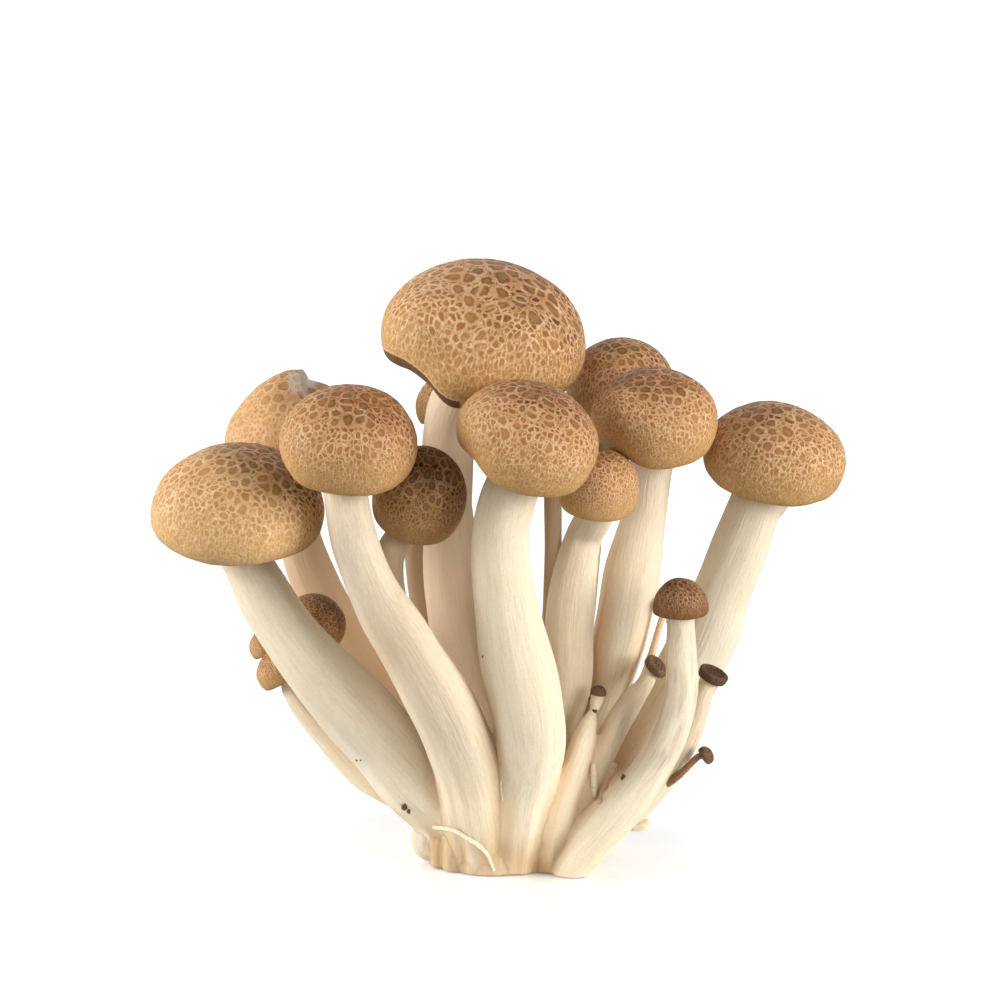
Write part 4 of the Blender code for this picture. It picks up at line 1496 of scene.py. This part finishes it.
    def piece(self, material: bpy.types.Material) -> bpy.types.Object:
        """Build the skin, cut it flat at the foot and dress it.

        Args:
            material: The flesh material.

        Returns:
            The piece.
        """
        tubes = self.tubes()
        rough = self.rough(tubes)
        points = self.grow(rough, tubes)
        rough.data.vertices.foreach_set("co", (points * MM).ravel())
        work = bmesh.new()
        work.from_mesh(rough.data)
        geometry = [*work.verts, *work.edges, *work.faces]
        bmesh.ops.bisect_plane(
            work, geom=geometry, dist=1e-6, plane_co=(0, 0, 0), plane_no=(0, 0, -1), clear_outer=True,
        )
        bmesh.ops.holes_fill(work, edges=[e for e in work.edges if e.is_boundary])
        bmesh.ops.triangulate(work, faces=[f for f in work.faces if len(f.verts) > 4])
        work.verts.index_update()
        points = np.array([v.co for v in work.verts]) / MM
        faces = [tuple(v.index for v in f.verts) for f in work.faces]
        work.free()
        bpy.data.objects.remove(rough, do_unlink=True)
        seen = self.survey(points, tubes)
        # painted shade: where two tubes come close below the caps, the cleft gets the warm colour
        deep = ease(3.5, 0.2, seen["second"]) * ease(66.0, 50.0, points[:, 2])
        # painted shade: tan on back and inner stems, fading out towards the cut
        tone = seen["tone"] * ease(4.0, 16.0, points[:, 2])
        # partly the base's own beige and partly painted shade under the overhanging cluster: darker towards
        # the bottom and the left
        foot = ease(13.0, 1.0, points[:, 2]) * (0.1 + 0.9 * ease(6.0, -7.0, points[:, 0]))
        values = {key: seen[key] for key in ("along", "streak", "high")}
        values |= {"deep": deep, "foot": foot, "tone": tone, "stain": self.stained_and_shaded(points)}
        nodes = ("base", *(f"stem_{m.name}" for m in MUSHROOMS if m.name not in self.thin))
        return make_piece("flesh", MeshData(points, faces, values), material, nodes)


@dataclass(frozen=True)
class Shred:
    """A thin strand that lies on the front of the flesh, as x, z and radius along it."""

    name: str
    path: tuple[Vec3, ...]
    tone: float = 0.0


@dataclass
class Shreds:
    """The thread-like pins, torn strands and crumbs on the stems."""

    lying: tuple[Shred, ...] = (
        Shred(
            "strand",
            (
                (-9.9, 6.9, 0.3), (-8.0, 7.4, 0.36), (-6.4, 7.3, 0.36), (-4.9, 6.5, 0.32), (-3.3, 5.3, 0.3),
                (-2.1, 3.9, 0.27), (-1.4, 2.3, 0.24), (-0.9, 0.8, 0.2),
            ),
        ),
        Shred("sliver", ((13.8, 17.0, 0.4), (13.9, 15.2, 0.5), (14.0, 13.4, 0.45), (14.1, 12.0, 0.25))),
        Shred(
            "fused_pin",
            ((16.9, 16.8, 0.55), (16.4, 15.4, 0.6), (15.6, 13.6, 0.55), (14.8, 11.8, 0.4)),
            0.5,
        ),
        Shred("web", ((0.1, 18.6, 0.1), (0.3, 16.5, 0.16), (0.1, 14.6, 0.14), (0.4, 12.4, 0.1))),
        Shred("web_left", ((-11.9, 19.5, 0.12), (-11.2, 17.6, 0.2), (-11.0, 15.4, 0.16), (-10.2, 13.2, 0.1))),
    )
    bent_pin: tuple[Knot, ...] = (
        (23.4, -7.2, 12.2, 1.0), (26.2, -9.2, 14.3, 0.6), (28.3, -9.8, 16.5, 0.45),
        (29.4, -9.8, 17.6, 0.45), (30.3, -9.8, 17.9, 0.4),
    )
    nub: tuple[Knot, ...] = (
        (18.6, -7.6, 7.0, 1.0), (20.3, -8.2, 6.4, 0.8), (21.7, -8.4, 6.7, 0.9), (22.5, -8.4, 7.3, 0.5),
    )
    knob: tuple[Knot, ...] = ((21.0, -0.5, 13.2, 0.5), (20.8, -2.2, 14.2, 0.75), (20.7, -3.0, 15.0, 0.45))
    neck: tuple[Knot, ...] = ((13.8, -9.8, 24.6, 0.5), (14.1, -9.7, 25.4, 0.8), (14.5, -9.4, 26.9, 1.0))
    crumbs: tuple[Vec3, ...] = (
        (-21.2, 17.8, 0.16), (-20.6, 18.0, 0.12), (-2.5, 35.0, 0.16), (18.2, 15.8, 0.4),
        (-14.2, 10.4, 0.45), (-13.6, 9.6, 0.3), (13.3, 25.4, 0.22), (14.1, 24.9, 0.35), (13.6, 26.3, 0.2),
    )
    front: float = -80.0

    def drape(self, surface: BVHTree, path: tuple[Vec3, ...]) -> tuple[Knot, ...]:
        """Lay a path on the front of the flesh.

        Args:
            surface: The flesh's surface.
            path: Its x, z and radius values.

        Returns:
            The route, half sunk into the surface.
        """
        route = []
        for x, z, radius in path:
            hit = surface.ray_cast(Vector((x, self.front, z)) * MM, Vector((0, 1, 0)))[0]
            depth = hit.y / MM if hit else self.front / 8
            route.append((x, depth - 0.5 * radius, z, radius))
        return tuple(route)

    def tube_piece(
        self, name: str, route: tuple[Knot, ...], material: bpy.types.Material,
        seed: int, tone: float = 0.0, nodes: tuple[str, ...] = (),
    ) -> None:
        """Make one thin tube a piece of its own.

        Args:
            name: The piece's name.
            route: Its route.
            material: Its material.
            seed: Which lumps it has.
            tone: How tan it is.
            nodes: The model's nodes that it stands for.
        """
        data = Tube(route, seed, lumps=0.12, flutes=0.05, tone=tone).mesh(12, 0.3, True)
        make_piece(name, data, material, nodes)

    def crumb_mesh(self, surface: BVHTree) -> MeshData:
        """Dark crumbs of the growing medium, stuck to the flesh.

        Args:
            surface: The flesh's surface.

        Returns:
            The mesh of all crumbs.
        """
        ball = bmesh.new()
        bmesh.ops.create_icosphere(ball, subdivisions=2, radius=1.0)
        shape = np.array([v.co for v in ball.verts])
        corners = [tuple(v.index for v in f.verts) for f in ball.faces]
        ball.free()
        points, faces = [], []
        for seed, (crumb, (x, z, size)) in enumerate(zip(self.drape(surface, self.crumbs), self.crumbs), 5):
            lumps = 1 + 0.35 * ripple(shape * 3, 2.5, seed)[:, None]
            count = len(points) * len(shape)
            points.append(shape * lumps * size * np.array([1.0, 0.6, 1.3]) + np.array([x, crumb[1], z]))
            faces += [tuple(i + count for i in face) for face in corners]
        return MeshData(np.concatenate(points), faces)

    def build(self, fibres: bpy.types.NodeTree, flesh: bpy.types.Material, body: bpy.types.Object) -> None:
        """Make every shred.

        Args:
            fibres: The fibrous flesh group.
            flesh: The flesh material.
            body: The flesh piece that they lie on.
        """
        brown = FleshFinish(linear(150, 112, 74), linear(96, 66, 42)).material("dried_flesh", fibres)
        soil = FleshFinish(linear(84, 58, 38), linear(52, 34, 24)).material("crumbs", fibres)
        corners = [v.co for v in body.data.vertices]
        surface = BVHTree.FromPolygons(corners, [tuple(f.vertices) for f in body.data.polygons])
        thin = next(m for m in MUSHROOMS if m.name == "pin_thin")
        axis, top = thin.cap.axis(), thin.route[-1][3]
        seat = Vector(thin.cap.centre) + axis * (thin.cap.ceiling() + 0.1)
        start = (10.8, -2.7, 2.0, 1.1)
        route = (start, *thin.route[1:], (*seat, top))
        self.tube_piece("stem_thread", route, flesh, 61, 0.45, ("stem_pin_thin",))
        for seed, shred in enumerate(self.lying, 70):
            route = self.drape(surface, shred.path)
            self.tube_piece(shred.name, route, flesh, seed, shred.tone)
        self.tube_piece("bent_pin_stem", self.bent_pin, brown, 63)
        self.tube_piece("nub", self.nub, flesh, 64)
        self.tube_piece("pin_neck", self.neck, flesh, 66)
        self.tube_piece("knob", self.knob, soil, 67)
        make_piece("crumbs", self.crumb_mesh(surface), soil, ())


@dataclass
class Caps:
    """All caps with their gills."""

    finishes: dict[Skin, SkinFinish] = field(
        default_factory=lambda: {
            Skin.GOLDEN: SkinFinish(),
            Skin.PALE: SkinFinish(
                net=linear(238, 208, 168), ground=linear(216, 176, 124), scale=linear(170, 120, 72),
                dark=linear(92, 54, 32), rim=linear(230, 190, 130), flesh=linear(222, 208, 192),
            ),
            Skin.SMOOTH: SkinFinish(
                net=linear(226, 190, 146), ground=linear(212, 170, 120), scale=linear(184, 136, 88),
                dark=linear(128, 84, 50), rim=linear(224, 184, 126), flesh=linear(222, 208, 192),
            ),
            Skin.SHADED: SkinFinish(
                net=linear(214, 174, 128), ground=linear(178, 136, 90), scale=linear(116, 74, 42),
                dark=linear(50, 30, 18), rim=linear(210, 168, 114),
            ),
            Skin.CHESTNUT: SkinFinish(
                net=linear(204, 164, 122), ground=linear(158, 112, 74), scale=linear(92, 58, 36),
                dark=linear(70, 42, 28), rim=linear(128, 84, 50),
            ),
            Skin.DRIED: SkinFinish(
                net=linear(194, 162, 126), ground=linear(126, 96, 68), scale=linear(78, 56, 40),
                dark=linear(28, 20, 16), rim=linear(136, 106, 76), bump=0.8,
            ),
        }
    )
    bent_pin: Cap = Cap((30.7, -9.8, 17.9), 1.4, 0.7, 0.4, 54, 8, (0.0, 0), spot=1.4, rim=0.92, dark=0.5)

    def build(self, skin: bpy.types.NodeTree) -> None:
        """Make a piece of each cap and each ring of gills.

        Args:
            skin: The scaly skin group.
        """
        dressed = {kind: look.material(f"skin_{kind.value[0]}", skin) for kind, look in self.finishes.items()}
        gills = GillFinish().material("gills")
        for seed, mushroom in enumerate(MUSHROOMS, 1):
            cap, name, kind = mushroom.cap, mushroom.name, mushroom.skin
            top, turn = mushroom.route[-1][3], cap.turn()
            data = cap.skin_mesh(top, seed)
            make_piece(f"cap_skin_{name}", data, dressed[kind], (f"cap_{name}",), turn)
            if cap.gilled:
                data = cap.gill_mesh(top)
                make_piece(f"blades_{name}", data, gills, (f"gills_{name}",), turn)
        data, turn = self.bent_pin.skin_mesh(0.5, 40), self.bent_pin.turn()
        make_piece("cap_skin_pin_bent", data, dressed[Skin.DRIED], ("cap_pin_bent",), turn)


@dataclass
class Studio:
    """The floor, the light and the camera, in metres."""

    target: Vec3 = (0.0, 0.0, 0.0547)
    distance: float = 0.4167
    elevation: float = 10.0
    lens: float = 100.0
    floor_half: float = 0.25
    floor_fade: tuple[float, float] = (0.05, 0.02)
    surround: float = 0.34
    seen_surround: float = 0.84
    boxes: tuple[tuple[str, Vec3, float, float], ...] = (
        ("left_box", (-0.75, -0.05, 0.25), 0.45, 7.6), ("right_box", (0.66, -0.35, 0.22), 0.45, 7.1),
        ("back_box", (0.0, 0.8, 0.6), 0.8, 2.5), ("front_box", (-0.1, -0.9, 0.35), 0.5, 1.3),
    )

    def floor(self) -> None:
        """A wide pale floor with a soft sheen."""
        mesh = bpy.data.meshes.new("floor")
        half = self.floor_half
        corners = [(-half, -half, 0), (half, -half, 0), (half, half, 0), (-half, half, 0)]
        mesh.from_pydata(corners, [], [(0, 1, 2, 3)])
        made, bench, shader = new_material("floor")
        place = bench.add("TexCoord").outputs["Object"]
        away = bench.mask(bench.add("VectorMath", {"operation": "LENGTH"}, i0=place), "Value")
        bench.wire(
            shader, Alpha=away.ramp(*self.floor_fade), Base_Color=(0.93, 0.95, 0.97), Roughness=0.28,
            Emission_Color=(1.0, 1.0, 1.0), Emission_Strength=0.06, Specular_IOR_Level=0.5,
        )
        mesh.materials.append(made)
        floor = bpy.data.objects.new("floor", mesh)
        floor.location.z = -0.0002
        bpy.context.scene.collection.objects.link(floor)

    def softbox(self, name: str, place: Vec3, size: float, power: float) -> None:
        """A square area light that faces the cluster.

        Args:
            name: The light's name.
            place: Where it stands.
            size: Its side.
            power: Its power in watts.
        """
        light = bpy.data.lights.new(name, "AREA")
        light.shape = "SQUARE"
        light.size = size
        light.energy = power
        lamp = bpy.data.objects.new(name, light)
        lamp.location = place
        lamp.rotation_euler = (Vector(self.target) - Vector(place)).to_track_quat("-Z", "Y").to_euler()
        lamp.visible_camera = False
        bpy.context.scene.collection.objects.link(lamp)

    def world(self) -> None:
        """A white surround that looks brighter to the camera than the light that it casts."""
        world = bpy.data.worlds.new("surround")
        world.use_nodes = True
        bpy.context.scene.world = world
        bench = NodeBench(world.node_tree)
        background = world.node_tree.nodes["Background"]
        sight = bench.mask(bench.add("LightPath"), "Is Camera Ray")
        strength = sight * self.seen_surround + self.surround
        bench.wire(background, Color=(1.0, 1.0, 1.0), Strength=strength)

    def camera(self) -> None:
        """The camera at the photograph's angle."""
        data = bpy.data.cameras.new("camera")
        data.lens = self.lens
        data.sensor_width = 36.0
        data.clip_start, data.clip_end = 0.01, 20.0
        camera = bpy.data.objects.new("camera", data)
        lift = radians(self.elevation)
        camera.location = Vector(self.target) + Vector((0, -cos(lift), sin(lift))) * self.distance
        camera.rotation_euler = (radians(90) - lift, 0, 0)
        bpy.context.scene.collection.objects.link(camera)
        bpy.context.scene.camera = camera

    def build(self) -> None:
        """Set up the whole studio."""
        view = bpy.context.scene.view_settings
        view.view_transform = "Standard"
        view.look = "None"
        self.camera()
        self.floor()
        self.world()
        for box in self.boxes:
            self.softbox(*box)


def main() -> None:
    """Build the studio, then the flesh, the caps and the shreds."""
    logging.basicConfig(level=logging.INFO, format="%(name)s %(message)s")
    Studio().build()
    fibres, skin = fibre_group(), scaly_skin_group()
    flesh = FleshFinish().material("flesh", fibres)
    body = Flesh().piece(flesh)
    Caps().build(skin)
    Shreds().build(fibres, flesh, body)


if __name__ == "__main__":
    main()
